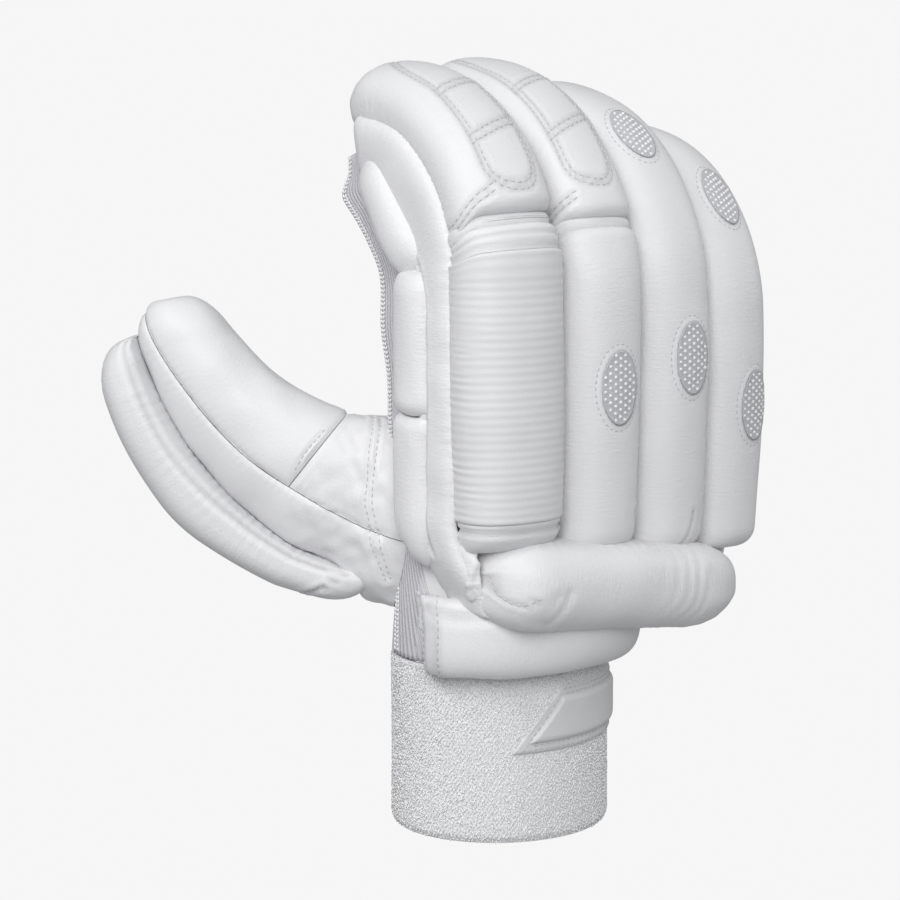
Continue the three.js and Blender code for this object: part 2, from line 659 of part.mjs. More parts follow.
function thumbTube(inset) {
  const to = sleeveEnd - inset;
  const rings = stations(0, to, 1, THUMB_SLEEVE.rounding, SPACING.sleeve).map((length) => {
    const end = lerp(BLUNT.sleeve, 1, filled(to - length, THUMB_SLEEVE.rounding));
    const deep = sleeveAt("deep", length);
    const [width, depth] = [sleeveAt("wide", length), deep].map((whole) => (whole - 2 * inset) * end);
    const section = oval(width, depth, -THUMB_SLEEVE.sink - deep / 2, SQUARE.sleeve, SIDES.tube);
    const frame = thumbLine(length);
    return section.map((pair) => place(frame, pair));
  });
  return loft(rings);
}

// The space on the inner side of a depth below the thumb's spine, up to some length. It stops short of the
// middle of the thumb's curl, where its sections would cross.
const INNER_REACH = 0.9;
function innerSpace(to, depthAt) {
  const half = THUMB.width;
  const deepest = -THUMB.radius * INNER_REACH;
  const rings = steps(SIDES.tube).map((share) => {
    const length = share * to;
    const corners = [[-half, -depthAt(length)], [half, -depthAt(length)], [half, deepest], [-half, deepest]];
    return corners.map((pair) => place(thumbLine(length), pair));
  });
  return loft(rings);
}
const pastEnd = sleeveEnd + THUMB_SLEEVE.rounding;
const insideSeam = innerSpace(pastEnd, (length) => sleeveAt("gusset", length));
const besideSeam = innerSpace(pastEnd, (length) => sleeveAt("gusset", length) - SEAM_GAP);
const nearHand = (reach) => innerSpace(THUMB_SLEEVE.base + reach, () => -THUMB.width);
const thumbInside = thumbTube(LEATHER);
const thumbSleeve = thumbTube(0).subtract(thumbInside).subtract(handGrown);
const innerHalf = thumbSleeve.intersect(insideSeam);
piece("thumb_gusset", largest(thumbSleeve.subtract(besideSeam)), leather);
piece("thumb_base", largest(innerHalf.intersect(nearHand(0))), leather);
piece("thumb_inner_roll", largest(innerHalf.subtract(nearHand(SEAM_GAP))), leather);

// Thumb guard: the thick padding down the thumb's back
const GUARD_SHAPE = [
  { along: 0, wide: 0.8, high: 0.6 },
  { along: 0.14, wide: 0.9, high: 0.68 },
  { along: 0.26, wide: 0.96, high: 0.8 },
  { along: 0.39, wide: 1, high: 0.92 },
  { along: 0.51, wide: 1, high: 1 },
  { along: 0.65, wide: 1, high: 0.93 },
  { along: 0.83, wide: 0.98, high: 0.82 },
  { along: 1, wide: 0.9, high: 0.76 },
];
const guard = roll({
  line: thumbLine,
  from: THUMB.root + THUMB_GUARD.start,
  to: thumbEnd,
  width: THUMB_GUARD.width,
  loft: THUMB_GUARD.loft,
  startRounding: THUMB_GUARD.rounding,
  endRounding: THUMB_GUARD.rounding,
  shape: GUARD_SHAPE,
});
piece("thumb_guard", largest(guard.subtract(handGrown)), leather);

// The hand's walls, with the ways out of it to the fingers and the thumb, parted into its four pieces
const handOutside = handBlock(0).subtract(seats(SEAM_GAP));
const handInside = handBlock(-LEATHER, 1).subtract(seats(SEAM_GAP + LEATHER));
const handShell = handOutside.subtract(handInside);
const waysOut = [...eachFinger.map((finger) => stallTube(finger, LEATHER)), thumbInside];
const handWalls = waysOut.reduce((made, cut) => made.subtract(cut), handShell);

// A slab of the hand between two distances out of its back. Near the wrist its back face flares away.
function layer(low, high, flare) {
  const rows = [
    { up: 0, share: 1 },
    { up: handLow, share: 1 },
    { up: handLow + MESH.flareEnd, share: 0 },
    { up: FAR, share: 0 },
  ];
  const rings = rows.map(({ up, share }) => {
    const edges = [[-FAR, low], [FAR, low], [FAR, high + flare * share], [-FAR, high + flare * share]];
    return edges.map(([x, back]) => handPoint(x, back, up));
  });
  return loft(rings);
}

// The part of the strip's slab that lies by one side of the hand, where the strip is knitted
function stripSpace(side, grow) {
  const edge = side < 0 ? handLeft + MESH.deep + grow : handRight - MESH.deep - grow;
  const [low, high] = [Math.min(edge, side * FAR), Math.max(edge, side * FAR)];
  const across = [[low, -FAR], [high, -FAR], [high, FAR], [low, FAR]];
  const half = loft([0, FAR].map((up) => across.map(([x, back]) => handPoint(x, back, up))));
  return layer(MESH.low - grow, MESH.high + grow, MESH.flare).intersect(half);
}
const palmSide = handWalls.intersect(layer(-FAR, MESH.high, MESH.flare));
piece("palm", largest(palmSide.subtract(stripSpace(-1, SEAM_GAP)).subtract(stripSpace(1, SEAM_GAP))), leather);
piece("hand_back", largest(handWalls.subtract(layer(-FAR, MESH.high + SEAM_GAP, MESH.flare))), leather);
piece("thumb_side_mesh", largest(handWalls.intersect(stripSpace(-1, 0))), knit);
piece("outer_side_mesh", largest(handWalls.intersect(stripSpace(1, 0))), knit);

export default glove;
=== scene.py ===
import math

import bmesh
import bpy
import numpy as np
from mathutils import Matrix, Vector


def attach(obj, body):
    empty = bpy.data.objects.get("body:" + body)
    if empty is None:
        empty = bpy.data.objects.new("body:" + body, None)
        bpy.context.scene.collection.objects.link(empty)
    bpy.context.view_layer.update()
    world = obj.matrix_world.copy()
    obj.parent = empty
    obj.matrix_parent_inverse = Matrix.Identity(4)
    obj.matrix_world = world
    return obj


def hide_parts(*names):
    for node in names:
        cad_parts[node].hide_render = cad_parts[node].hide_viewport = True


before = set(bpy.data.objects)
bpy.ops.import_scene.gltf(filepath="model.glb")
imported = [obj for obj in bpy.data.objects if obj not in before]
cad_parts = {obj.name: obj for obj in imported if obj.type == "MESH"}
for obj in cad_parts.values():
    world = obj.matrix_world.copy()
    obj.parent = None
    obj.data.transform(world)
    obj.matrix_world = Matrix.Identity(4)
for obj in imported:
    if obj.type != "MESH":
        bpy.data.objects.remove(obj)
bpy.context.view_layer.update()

# The glove is seen from the thumb's side of its back and a little from above, with a long lens.
# It has no cords. Everything below is worked out in millimetres and becomes metres in its mesh.
aim = Vector((-0.00284, 0.02561, 0.1312))
azimuth, elevation = math.radians(-38), math.radians(8)
toward = Vector((math.sin(azimuth) * math.cos(elevation), -math.cos(azimuth) * math.cos(elevation),
                 math.sin(elevation)))
camera = bpy.data.objects.new("camera", bpy.data.cameras.new("camera"))
camera.data.lens = 90
camera.data.sensor_width = 36
camera.rotation_mode = "QUATERNION"
camera.rotation_quaternion = (-toward).to_track_quat("-Z", "Y")
camera.location = aim + toward * 0.81
bpy.context.scene.collection.objects.link(camera)
bpy.context.scene.camera = camera
bpy.context.scene.view_settings.view_transform = "Standard"

# A pale studio: an even sky, a large soft lamp high on the left, and a plain floor that runs up into its
# backdrop. Floor and backdrop are seen by the camera alone, so that they throw no light on the glove.
world = bpy.data.worlds.new("studio")
bpy.context.scene.world = world
world.use_nodes = True
world.node_tree.nodes["Background"].inputs["Color"].default_value = (0.97, 0.98, 1.0, 1)
world.node_tree.nodes["Background"].inputs["Strength"].default_value = 0.37
right = Vector((math.cos(azimuth), math.sin(azimuth), 0))
LAMPS = {
    "key_lamp": {"side": -0.7, "up": 0.85, "near": 0.8, "size": 0.5, "power": 5.2},
    "front_lamp": {"side": -0.02, "up": 0.45, "near": 1.15, "size": 0.8, "power": 9.3},
    "rim_lamp": {"side": 1.0, "up": 0.5, "near": -0.5, "size": 0.5, "power": 1.5},
}
for name, lamp in LAMPS.items():
    light = bpy.data.lights.new(name, "AREA")
    light.shape = "DISK"
    light.size = lamp["size"]
    light.energy = lamp["power"]
    holder = bpy.data.objects.new(name, light)
    offset = right * lamp["side"] + Vector((0, 0, lamp["up"])) + toward * lamp["near"]
    holder.location = aim + offset
    holder.rotation_mode = "QUATERNION"
    holder.rotation_quaternion = (-offset).to_track_quat("-Z", "Y")
    bpy.context.scene.collection.objects.link(holder)

paper = bpy.data.materials.new("studio_paper")
paper.use_nodes = True
paper.node_tree.nodes.remove(paper.node_tree.nodes["Principled BSDF"])
glow = paper.node_tree.nodes.new("ShaderNodeEmission")
glow.inputs["Color"].default_value = (0.922, 0.922, 0.922, 1)
paper.node_tree.links.new(glow.outputs[0], paper.node_tree.nodes["Material Output"].inputs["Surface"])
for name, radius, low in (("studio_floor", 3.0, -0.25), ("studio_backdrop", 4.0, 0.0)):
    made = bmesh.new()
    if name == "studio_floor":
        bmesh.ops.create_circle(made, cap_ends=True, segments=64, radius=radius)
    else:
        bmesh.ops.create_icosphere(made, subdivisions=5, radius=radius)
        bmesh.ops.reverse_faces(made, faces=made.faces)
    bmesh.ops.translate(made, verts=made.verts, vec=(0, 0, low))
    mesh = bpy.data.meshes.new(name)
    made.to_mesh(mesh)
    made.free()
    mesh.materials.append(paper)
    ground = bpy.data.objects.new(name, mesh)
    bpy.context.scene.collection.objects.link(ground)
    ground.visible_diffuse = ground.visible_glossy = ground.visible_shadow = False

# Finger rolls: pads of foam in white leather, sewn down by their edges along the backs of the fingers. The
# first two fingers' are made in two, with a flat bar between them. The leather is full-grain calf.
FINGERS = {
    "index": {"x": -25, "back": 28, "width": 37, "loft": 21.5, "knuckle": 198, "radius": 50, "curl": 102,
              "cant": -8, "splay": -1, "split": 12, "over": 1.0, "blunt": 13},
    "middle": {"x": 10.2, "back": 29.5, "width": 32.4, "loft": 20.5, "knuckle": 191, "radius": 62, "curl": 104,
               "cant": -2.5, "splay": 0.4, "split": 17, "over": 0.9, "blunt": 17},
    "ring": {"x": 43.2, "back": 28.5, "width": 32.4, "loft": 19.5, "knuckle": 189, "radius": 60, "curl": 99,
             "cant": 3, "splay": 1.2, "over": 0.76, "blunt": 17},
    "little": {"x": 75.4, "back": 24.5, "width": 30.6, "loft": 18.5, "knuckle": 181, "radius": 54, "curl": 97,
               "cant": 10, "splay": 2.4, "over": 0.77, "blunt": 17},
}
FINGER_SHAPE = {"along": (0, 0.2, 0.5, 0.8, 1), "wide": (0.95, 1, 1.01, 0.96, 0.88),
                "high": (0.96, 1.02, 1, 1, 0.95)}
EVEN = {"along": (0, 1), "wide": (1, 1), "high": (1, 1)}
ROUNDING = {"foot": 8, "split": 3.2}
SPLIT = {"gap": 5, "bar": 17}
SEAM_GAP = 0.3
WRIST_ROLL = {"length": 108, "tall": 26, "loft": 26, "x": 17.5, "back": 31, "up": 88.5, "tilt": 6.5, "bow": 3}
PILLOW = {"reach": 0.38, "under": 3.4, "over": 2.25}
END = {"wide": 0.62, "high": 0.32}
FLAT_END = {"wide": 0.93, "high": 0.8}
FOOT_END = {"wide": 0.84, "high": 0.5}
UP = np.array((0.0, 0.0, 1.0))
MM = 0.001


def hand_point(x, back, up):
    """A point x towards the little finger, so far out of the hand's back, and so high."""
    return np.stack(np.broadcast_arrays(x, -np.asarray(back, float), up), axis=-1).astype(float)


def signed_power(value, exponent):
    return np.sign(value) * np.abs(value) ** exponent


def column(table, name, share):
    """The named column of a short table at some share of its length, with its corners eased."""
    steps = np.linspace(-0.06, 0.06, 7)
    return np.mean([np.interp(share + step, table["along"], table[name]) for step in steps], axis=0)


def filled(distance, rounding):
    """How far a rounded end has filled out, from 0 at its tip to 1 where the rounding ends."""
    return np.sqrt(1 - (1 - np.clip(distance / rounding, 0, 1)) ** 2)


def spine(foot, start, curl_way, straight, radius, cant=0.0):
    """The line along a finger's back: straight, then curled. Gives point, along, across and out at lengths."""
    turn = math.radians(cant)

    def line(length):
        length = np.asarray(length, float)[..., None]
        angle = np.maximum(0, length - straight) / radius
        c, s = np.cos(angle), np.sin(angle)
        point = foot + start * (np.minimum(length, straight) + radius * s) + curl_way * radius * (1 - c)
        along = start * c + curl_way * s
        back = start * s - curl_way * c
        side = np.cross(along, back)
        across = side * math.cos(turn) - back * math.sin(turn)
        return point, along, across, back * math.cos(turn) + side * math.sin(turn)

    return line


def roll_size(line, start, stop, width, loft, first, last, shape=EVEN, hang=0.0, ends=(END, END)):
    """A roll's line and sizes. Its first and last are the lengths over which its two ends round off."""
    return {"line": line, "start": start, "stop": stop, "width": width, "loft": loft,
            "first": first, "last": last, "shape": shape, "hang": hang, "ends": ends}


def roll_section(size, length):
    """A roll's width and height at a length."""
    share = (length - size["start"]) / (size["stop"] - size["start"])
    width = size["width"] * column(size["shape"], "wide", share)
    high = size["loft"] * column(size["shape"], "high", share)
    for end, off, rounding in ((size["ends"][0], length - size["start"], size["first"]),
                               (size["ends"][1], size["stop"] - length, size["last"])):
        full = filled(off, rounding)
        width = width * (end["wide"] + (1 - end["wide"]) * full)
        high = high * (end["high"] + (1 - end["high"]) * full)
    return width, high


def roll_point(size, length, degrees, shift=0.0):
    """A point on a roll, at degrees from its crown towards the little finger's side, moved along by a shift."""
    width, high = roll_section(size, length)
    point, _, across, out = size["line"](length + shift)
    angle = math.pi / 2 - np.radians(degrees)
    c, s = np.cos(angle), np.sin(angle)
    centre = high * PILLOW["reach"]
    square = np.where(s < 0, PILLOW["under"], PILLOW["over"])
    side = width / 2 * signed_power(c, 2 / square)
    rise = centre + np.where(s < 0, centre, high - centre) * signed_power(s, 2 / square)
    side = side - size["hang"] * width / 2
    return point + across * side[..., None] + out * rise[..., None]


def outward(points, closed):
    """The outward direction at each place of a grid of points, [along][around]."""
    along = np.gradient(points, axis=0)
    around = np.roll(points, -1, 1) - np.roll(points, 1, 1) if closed else np.gradient(points, axis=1)
    normal = np.cross(around, along)
    return normal / np.maximum(np.linalg.norm(normal, axis=-1, keepdims=True), 1e-9)


def make_skin(along, around, place, closed=True):
    """A grid of points on a surface, with its two measures in millimetres, ready for seams to be pressed in."""
    u, v = np.meshgrid(along, around, indexing="ij")
    points = place(u, v)
    return {"along": along, "around": around, "u": u, "v": v, "points": points, "out": outward(points, closed),
            "closed": closed, "seam": np.zeros(u.shape)}


def raise_skin(skin, height):
    """Moves each place of a skin outward by its own height."""
    skin["points"] += skin["out"] * height[..., None]


def roll_skin(size, step=1.1, slant=None):
    """A roll's skin. A slant gives how far each place moves along, for an end that is cut at an angle."""
    turn = np.linspace(0, math.pi / 2, 9)
    low, high = size["start"] + size["first"], size["stop"] - size["last"]
    middle = np.linspace(low, high, max(3, round((high - low) / step)))[1:-1]
    along = np.concatenate([size["start"] + size["first"] * (1 - np.cos(turn)), middle,
                            size["stop"] - size["last"] * (1 - np.cos(turn[::-1]))])
    degrees = np.linspace(-180, 180, 1441)
    half_way = np.full(degrees.shape, (low + high) / 2)
    edge = roll_point(size, half_way, degrees)
    reach = np.concatenate([[0], np.cumsum(np.linalg.norm(np.diff(edge, axis=0), axis=1))])
    reach -= np.interp(0, degrees, reach)
    around = np.linspace(reach[0], reach[-1], round((reach[-1] - reach[0]) / step) + 1)[:-1]
    skin = make_skin(along, around, lambda u, v: roll_point(size, u, np.interp(v, reach, degrees),
                                                            slant(u, v) if slant else 0.0))
    skin["half"] = reach[-1]
    return skin


def smooth_path(places, spacing=0.8, closed=False):
    """A smooth run of (along, around) places through a few given ones."""
    places = np.array(places, float)
    ends = ((places[-1:], places[:2]) if closed
            else (2 * places[:1] - places[1:2], 2 * places[-1:] - places[-2:-1]))
    knots = np.concatenate([ends[0], places, ends[1]])
    run = []
    for a, b, c, d in zip(knots, knots[1:], knots[2:], knots[3:]):
        share = np.linspace(0, 1, max(2, round(np.linalg.norm(c - b) / spacing)), endpoint=False)[:, None]
        run.append(0.5 * (2 * b + (c - a) * share + (2 * a - 5 * b + 4 * c - d) * share ** 2
                          + (3 * b - 3 * c + d - a) * share ** 3))
    return np.concatenate(run if closed else run + [places[-1:]])


def beside(path, by, closed=False):
    """A run parallel to another one, some millimetres to its left."""
    way = np.roll(path, -1, 0) - np.roll(path, 1, 0) if closed else np.gradient(path, axis=0)
    way /= np.maximum(np.linalg.norm(way, axis=1, keepdims=True), 1e-9)
    return path + by * np.stack([-way[:, 1], way[:, 0]], axis=1)


def off_path(skin, path):
    """How far each place of a skin is from a run on it."""
    place = np.stack([skin["u"], skin["v"]], axis=-1)
    nearest = np.full(skin["u"].shape, 1e9)
    for a, b in zip(path[:-1], path[1:]):
        way = b - a
        share = np.clip(((place - a) @ way) / max(way @ way, 1e-9), 0, 1)
        nearest = np.minimum(nearest, np.linalg.norm(place - a - share[..., None] * way, axis=-1))
    return nearest


def press(skin, path, depth, wide=0.9, swell=0.0):
    """Presses a seam into a skin, and lets the leather swell a little on both sides of it."""
    off = off_path(skin, path)
    groove = np.exp(-(off / wide) ** 2)
    bank = np.exp(-((off - 2.6 * wide) / (1.3 * wide)) ** 2)
    raise_skin(skin, swell * bank - depth * groove)
    # The seam mark darkens the leather's colour here: painted shade in the groove, with some soil.
    skin["seam"] = np.maximum(skin["seam"], groove)


def uneven(points, size, seed):
    """A gentle unevenness between -1 and 1, in waves of about some size."""
    random = np.random.default_rng(seed)
    total = 0
    for _ in range(7):
        way = random.normal(size=3)
        way *= 2 * math.pi / (size * random.uniform(0.7, 1.6)) / np.linalg.norm(way)
        total = total + np.sin(points @ way + random.uniform(0, 2 * math.pi))
    return total / 4


def ripple(skin, amount, size, seed):
    """Lets a skin rise and sink a little, in waves of about some size."""
    raise_skin(skin, amount * uneven(skin["points"], size, seed))


def grid_faces(rows, places, closed):
    row, place = np.meshgrid(np.arange(rows - 1), np.arange(places if closed else places - 1), indexing="ij")
    after = (place + 1) % places
    corners = [row * places + place, row * places + after,
               (row + 1) * places + after, (row + 1) * places + place]
    return np.stack(corners, axis=-1).reshape(-1, 4)


def make_object(name, points, faces, material, marks=None, seam=None):
    """An object with its mesh, in metres, a map of its two measures and a mark of how near the seams are."""
    mesh = bpy.data.meshes.new(name)
    mesh.from_pydata((points.reshape(-1, 3) * MM).tolist(), [], faces.tolist())
    if marks is not None:
        layer = mesh.uv_layers.new(name="skin")
        layer.data.foreach_set("uv", (marks.reshape(-1, 2)[faces.ravel()] * 0.01).astype(np.float32).ravel())
    # The seam mark goes with the mesh; the leather darkens its colour by it, as painted shade with some soil.
    if seam is not None:
        near = mesh.attributes.new("seam", "FLOAT", "POINT")
        near.data.foreach_set("value", seam.ravel().astype(np.float32))
    mesh.materials.append(material)
    made = bpy.data.objects.new(name, mesh)
    bpy.context.scene.collection.objects.link(made)
    tidy = bmesh.new()
    tidy.from_mesh(mesh)
    bmesh.ops.remove_doubles(tidy, verts=tidy.verts, dist=2e-6)
    bmesh.ops.dissolve_degenerate(tidy, edges=tidy.edges, dist=1e-7)
    tidy.to_mesh(mesh)
    tidy.free()
    mesh.shade_smooth()
    return made


CAP = (0.97, 0.9, 0.78, 0.6, 0.35, 0.0)


def closed_object(name, skin, material, bulge=1.6):
    """A closed pad from a skin, with softly domed ends."""
    points, seam = skin["points"], skin["seam"]
    marks = np.stack([skin["v"], skin["u"]], axis=-1)
    for first in (True, False):
        edge, inner = (points[0], points[1]) if first else (points[-1], points[-2])
        centre = edge.mean(axis=0)
        way = centre - inner.mean(axis=0)
        way /= max(np.linalg.norm(way), 1e-9)
        rings = np.array([centre + (edge - centre) * k + way * bulge * math.sqrt(1 - k * k) for k in CAP])
        near = np.repeat(seam[:1] if first else seam[-1:], len(CAP), axis=0)
        mark = np.repeat(marks[:1] if first else marks[-1:], len(CAP), axis=0)
        order = slice(None, None, -1) if first else slice(None)
        stacked = [rings[order], points] if first else [points, rings[order]]
        points = np.concatenate(stacked)
        seam = np.concatenate([near, seam] if first else [seam, near])
        marks = np.concatenate([mark, marks] if first else [marks, mark])
    return make_object(name, points, grid_faces(len(points), points.shape[1], True), material, marks, seam)


def node(tree, kind, inputs=None, **settings):
    made = tree.nodes.new(kind)
    for key, value in settings.items():
        setattr(made, key, value)
    for key, value in (inputs or {}).items():
        if isinstance(value, bpy.types.NodeSocket):
            tree.links.new(value, made.inputs[key])
        else:
            made.inputs[key].default_value = value
    return made


def start_material(name):
    """A new material, with its tree, its shader and the object's own coordinates."""
    material = bpy.data.materials.new(name)
    material.use_nodes = True
    tree = material.node_tree
    return material, tree, tree.nodes["Principled BSDF"], node(tree, "ShaderNodeTexCoord").outputs["Object"]


def spread(tree, value, low, high, first=0.0, last=1.0):
    """A value that lies between first and last, spread between low and high."""
    return node(tree, "ShaderNodeMapRange", {"Value": value, "From Min": first, "From Max": last,
                                             "To Min": low, "To Max": high}).outputs[0]


def paint(tree, shader, colour, *shades):
    """Gives a shader its colour, dimmed by each of some shades."""
    shade = shades[0]
    for other in shades[1:]:
        shade = node(tree, "ShaderNodeMath", {0: shade, 1: other}, operation="MULTIPLY").outputs[0]
    tint = node(tree, "ShaderNodeVectorMath", {0: colour, "Scale": shade}, operation="SCALE")
    tree.links.new(tint.outputs[0], shader.inputs["Base Color"])


def emboss(tree, shader, layers, **settings):
    """Roughens a surface with layers of (height, strength, depth), one over the other."""
    under = {}
    for height, strength, depth in layers:
        bump = node(tree, "ShaderNodeBump",
                    {"Height": height, "Strength": strength, "Distance": depth, **under}, **settings)
        under = {"Normal": bump.outputs[0]}
    tree.links.new(under["Normal"], shader.inputs["Normal"])


def make_leather(name, colour, roughness=0.47, pebble=0.65, crease=0.8, recess_shade=0.22):
    """White calf leather: a fine pebble grain, faint creases across the roll, and its colour darkened in its
    seams, as painted shade in the grooves with some soil.
    """
    material, tree, shader, place = start_material(name)
    skin_map = node(tree, "ShaderNodeUVMap", uv_map="skin").outputs["UV"]
    cloud = node(tree, "ShaderNodeTexNoise", {"Vector": place, "Scale": 34.0, "Detail": 3.0}).outputs["Fac"]
    # Darker near the seams, by the seam mark: painted shade in the seam grooves, with some soil.
    near = node(tree, "ShaderNodeAttribute", attribute_name="seam").outputs["Fac"]
    paint(tree, shader, colour, spread(tree, cloud, 0.955, 1.0, 0.3, 0.7), spread(tree, near, 1.0, 1.0 - recess_shade))
    sheen = spread(tree, cloud, roughness - 0.04, roughness + 0.07, 0.3, 0.7)
    tree.links.new(sheen, shader.inputs["Roughness"])
    cells = node(tree, "ShaderNodeTexVoronoi", {"Vector": place, "Scale": 1050.0, "Randomness": 1.0},
                 feature="SMOOTH_F1")
    cells.inputs["Smoothness"].default_value = 0.5
    stretched = node(tree, "ShaderNodeMapping", {"Vector": skin_map, "Scale": (18.0, 120.0, 1.0)})
    lines = node(tree, "ShaderNodeTexNoise", {"Vector": stretched.outputs[0], "Scale": 1.0, "Detail": 4.0,
                                              "Roughness": 0.65, "Distortion": 0.4})
    emboss(tree, shader, [(cells.outputs["Distance"], pebble * 0.5, 0.22 * MM),
                          (lines.outputs["Fac"], crease * 0.5, 0.5 * MM)])
    shader.inputs["Specular IOR Level"].default_value = 0.42
    return material


leather = make_leather("white_leather", (0.79, 0.79, 0.80))


def make_finger(size):
    lean = math.radians(size["splay"])
    drop = (size["x"] - WRIST_ROLL["x"]) * math.tan(math.radians(WRIST_ROLL["tilt"]))
    foot_up = WRIST_ROLL["up"] - drop + WRIST_ROLL["tall"] / 2 + SEAM_GAP
    straight = size["knuckle"] - foot_up
    foot = hand_point(size["x"], size["back"], foot_up)
    palm_way = np.array((0.0, 1.0, 0.0))
    start = np.array((math.sin(lean), 0.0, math.cos(lean)))
    made = dict(size)
    made.update(foot_up=foot_up, straight=straight, end=straight + size["radius"] * math.radians(size["curl"]),
                line=spine(foot, start, palm_way, straight, size["radius"], size["cant"]),
                upright=spine(foot, UP, palm_way, straight, size["radius"], size["cant"]))
    return made


fingers = {name: make_finger(size) for name, size in FINGERS.items()}


def finger_roll(finger, start, stop, first, last, ends, loft=None):
    rows = np.linspace(start, stop, 9) / finger["end"]
    shape = {"along": np.linspace(0, 1, 9),
             "wide": np.interp(rows, FINGER_SHAPE["along"], FINGER_SHAPE["wide"]),
             "high": np.interp(rows, FINGER_SHAPE["along"], FINGER_SHAPE["high"])
             * np.interp(rows, (0.38, 0.6), (1, finger["over"]))}
    return roll_size(finger["line"], start, stop, finger["width"], loft or finger["loft"], first, last,
                     shape, ends=ends)


rolls = {}
for name in ("index", "middle"):
    finger = fingers[name]
    split = finger["straight"] + finger["split"]
    over = split + SPLIT["gap"]
    rolls[name + "_lower_roll"] = finger_roll(finger, 0, split, ROUNDING["foot"], ROUNDING["split"],
                                              (FOOT_END, FLAT_END))
    rolls[name + "_tip_roll"] = finger_roll(finger, over, finger["end"], ROUNDING["split"], finger["blunt"],
                                            (FLAT_END, END))
    half = SPLIT["gap"] / 2
    rolls[name + "_hinge"] = finger_roll(finger, split + SEAM_GAP, over - SEAM_GAP, half, half,
                                         (FLAT_END, FLAT_END), SPLIT["bar"])
for name in ("ring", "little"):
    rolls[name + "_roll"] = finger_roll(fingers[name], 0, fingers[name]["end"], ROUNDING["foot"],
                                        fingers[name]["blunt"], (FOOT_END, END))


def end_slant(size, at_start, crown, corner, drop):
    """Closes a split at the crowns, and lets the thumb's side corner of a roll's end reach down by a drop."""
    def slant(u, v):
        past = np.clip((corner - v) / 15, 0, 1)
        near = np.maximum((u - size["start"]) if at_start else (size["stop"] - u), 0)
        high = np.clip(1.35 - np.abs(v) / 26, 0, 1)
        reach = -drop * past ** 2 * (3 - 2 * past) + (-crown if at_start else crown) * high
        return reach * np.exp(-(near / 13) ** 2)
    return slant


SLANTS = {
    "index_tip_roll": {"at_start": True, "crown": 0.9, "corner": -11.0, "drop": 5.0},
    "index_lower_roll": {"at_start": False, "crown": 1.0, "corner": -15.0, "drop": 2.8},
    "index_hinge": {"at_start": True, "crown": 0.0, "corner": -13.0, "drop": 3.4},
    "middle_tip_roll": {"at_start": True, "crown": 0.9, "corner": -12.0, "drop": 3.2},
    "middle_lower_roll": {"at_start": False, "crown": 1.0, "corner": -14.0, "drop": 1.8},
    "middle_hinge": {"at_start": True, "crown": 0.0, "corner": -13.0, "drop": 2.2},
}
skins = {}
for name, size in rolls.items():
    skins[name] = roll_skin(size, slant=end_slant(size, **SLANTS[name]) if name in SLANTS else None)

# The double-stitched inserts on the crowns of the two tip rolls, with their cross bars, the slanted seams at
# the rolls' corners and the seams under the lower rolls' ends. Places are (along the roll, around it).
INSERTS = {
    "index_tip_roll": {
        "outline": [(170, 2), (166, -5), (157, -9), (144, -8.8), (129, -8.6), (118.5, -8.4), (114, -4.8),
                    (112.2, 2), (113.2, 7.6), (117, 11.6), (126, 13), (144, 13), (158, 12.4), (167, 8.5)],
        "bars": [[(126.6, -7.8), (131.4, 12.4)], [(143.6, -8.2), (148.2, 12.4)]],
    },
    "middle_tip_roll": {
        "outline": [(190, -1), (186, -8), (174, -11.3), (160, -11.3), (145, -11), (133, -11.3), (123.4, -11),
                    (119.2, -7.6), (117.4, 0), (118.6, 5), (122.5, 8.6), (132, 10.2), (160, 10.4), (178, 9.4),
                    (187, 5)],
        "bars": [[(134, -10.6), (140.4, 9.6)], [(154, -10.6), (160, 9.8)]],
    },
}
threads = {"finger": []}


def at(skin, path, lift=0.0):
    """Points and outward ways on a skin, at a run of places on it."""
    last = len(skin["along"]) - 1.001
    row = np.clip(np.interp(path[:, 0], skin["along"], np.arange(len(skin["along"]))), 0, last)
    pitch = skin["around"][1] - skin["around"][0]
    place = (path[:, 1] - skin["around"][0]) / pitch
    count = len(skin["around"])
    place = place if skin["closed"] else np.clip(place, 0, count - 1.001)
    i, j = np.floor(row).astype(int), np.floor(place).astype(int)
    a, b = (row - i)[:, None], (place - j)[:, None]

    def read(field):
        rows = [field[k, j % count] * (1 - b) + field[k, (j + 1) % count] * b for k in (i, i + 1)]
        return rows[0] * (1 - a) + rows[1] * a

    out = read(skin["out"])
    return read(skin["points"]) + out * lift, out


def seam(skin, path, depth=0.45, wide=0.8, swell=0.12, sewn_in=None, closed=False):
    """A pressed seam, and its thread if it is sewn where it shows."""
    run = smooth_path(path, closed=closed)
    press(skin, np.concatenate([run, run[:1]]) if closed else run, depth, wide, swell)
    if sewn_in is not None:
        sewn_in.append((skin, run))
    return run


for name, insert in INSERTS.items():
    skin = skins[name]
    outline = smooth_path(insert["outline"], closed=True)
    for by in (0.3, 2.0):
        seam(skin, beside(outline, -by, closed=True)[::3], 0.4, 0.7, 0.16, threads["finger"], closed=True)
    for bar in insert["bars"]:
        for by in (-1.1, 1.1):
            seam(skin, np.array(bar) + (by, 0), 0.4, 0.7, 0.2, threads["finger"])
for name, corner in (("index_tip_roll", -9.0), ("middle_tip_roll", -12.0)):
    start = rolls[name]["start"]
    for by in (0.0, 1.8):
        seam(skins[name], [(start + 1.2 + by, corner - 24), (start + 1.8 + by, corner - 12),
                           (start + 3.2 + by, corner - 3), (start + 4.6 + by, corner + 1.5)],
             0.35, 0.7, 0.15, threads["finger"])
seam(skins["ring_roll"], [(15, 4.2), (8, 2.2), (0.8, -1.2)], 0.4, 0.7, 0.15, threads["finger"])
seam(skins["middle_lower_roll"], [(14, 12.5), (7, 14), (1, 13)], 0.7, 0.8, 0.3)
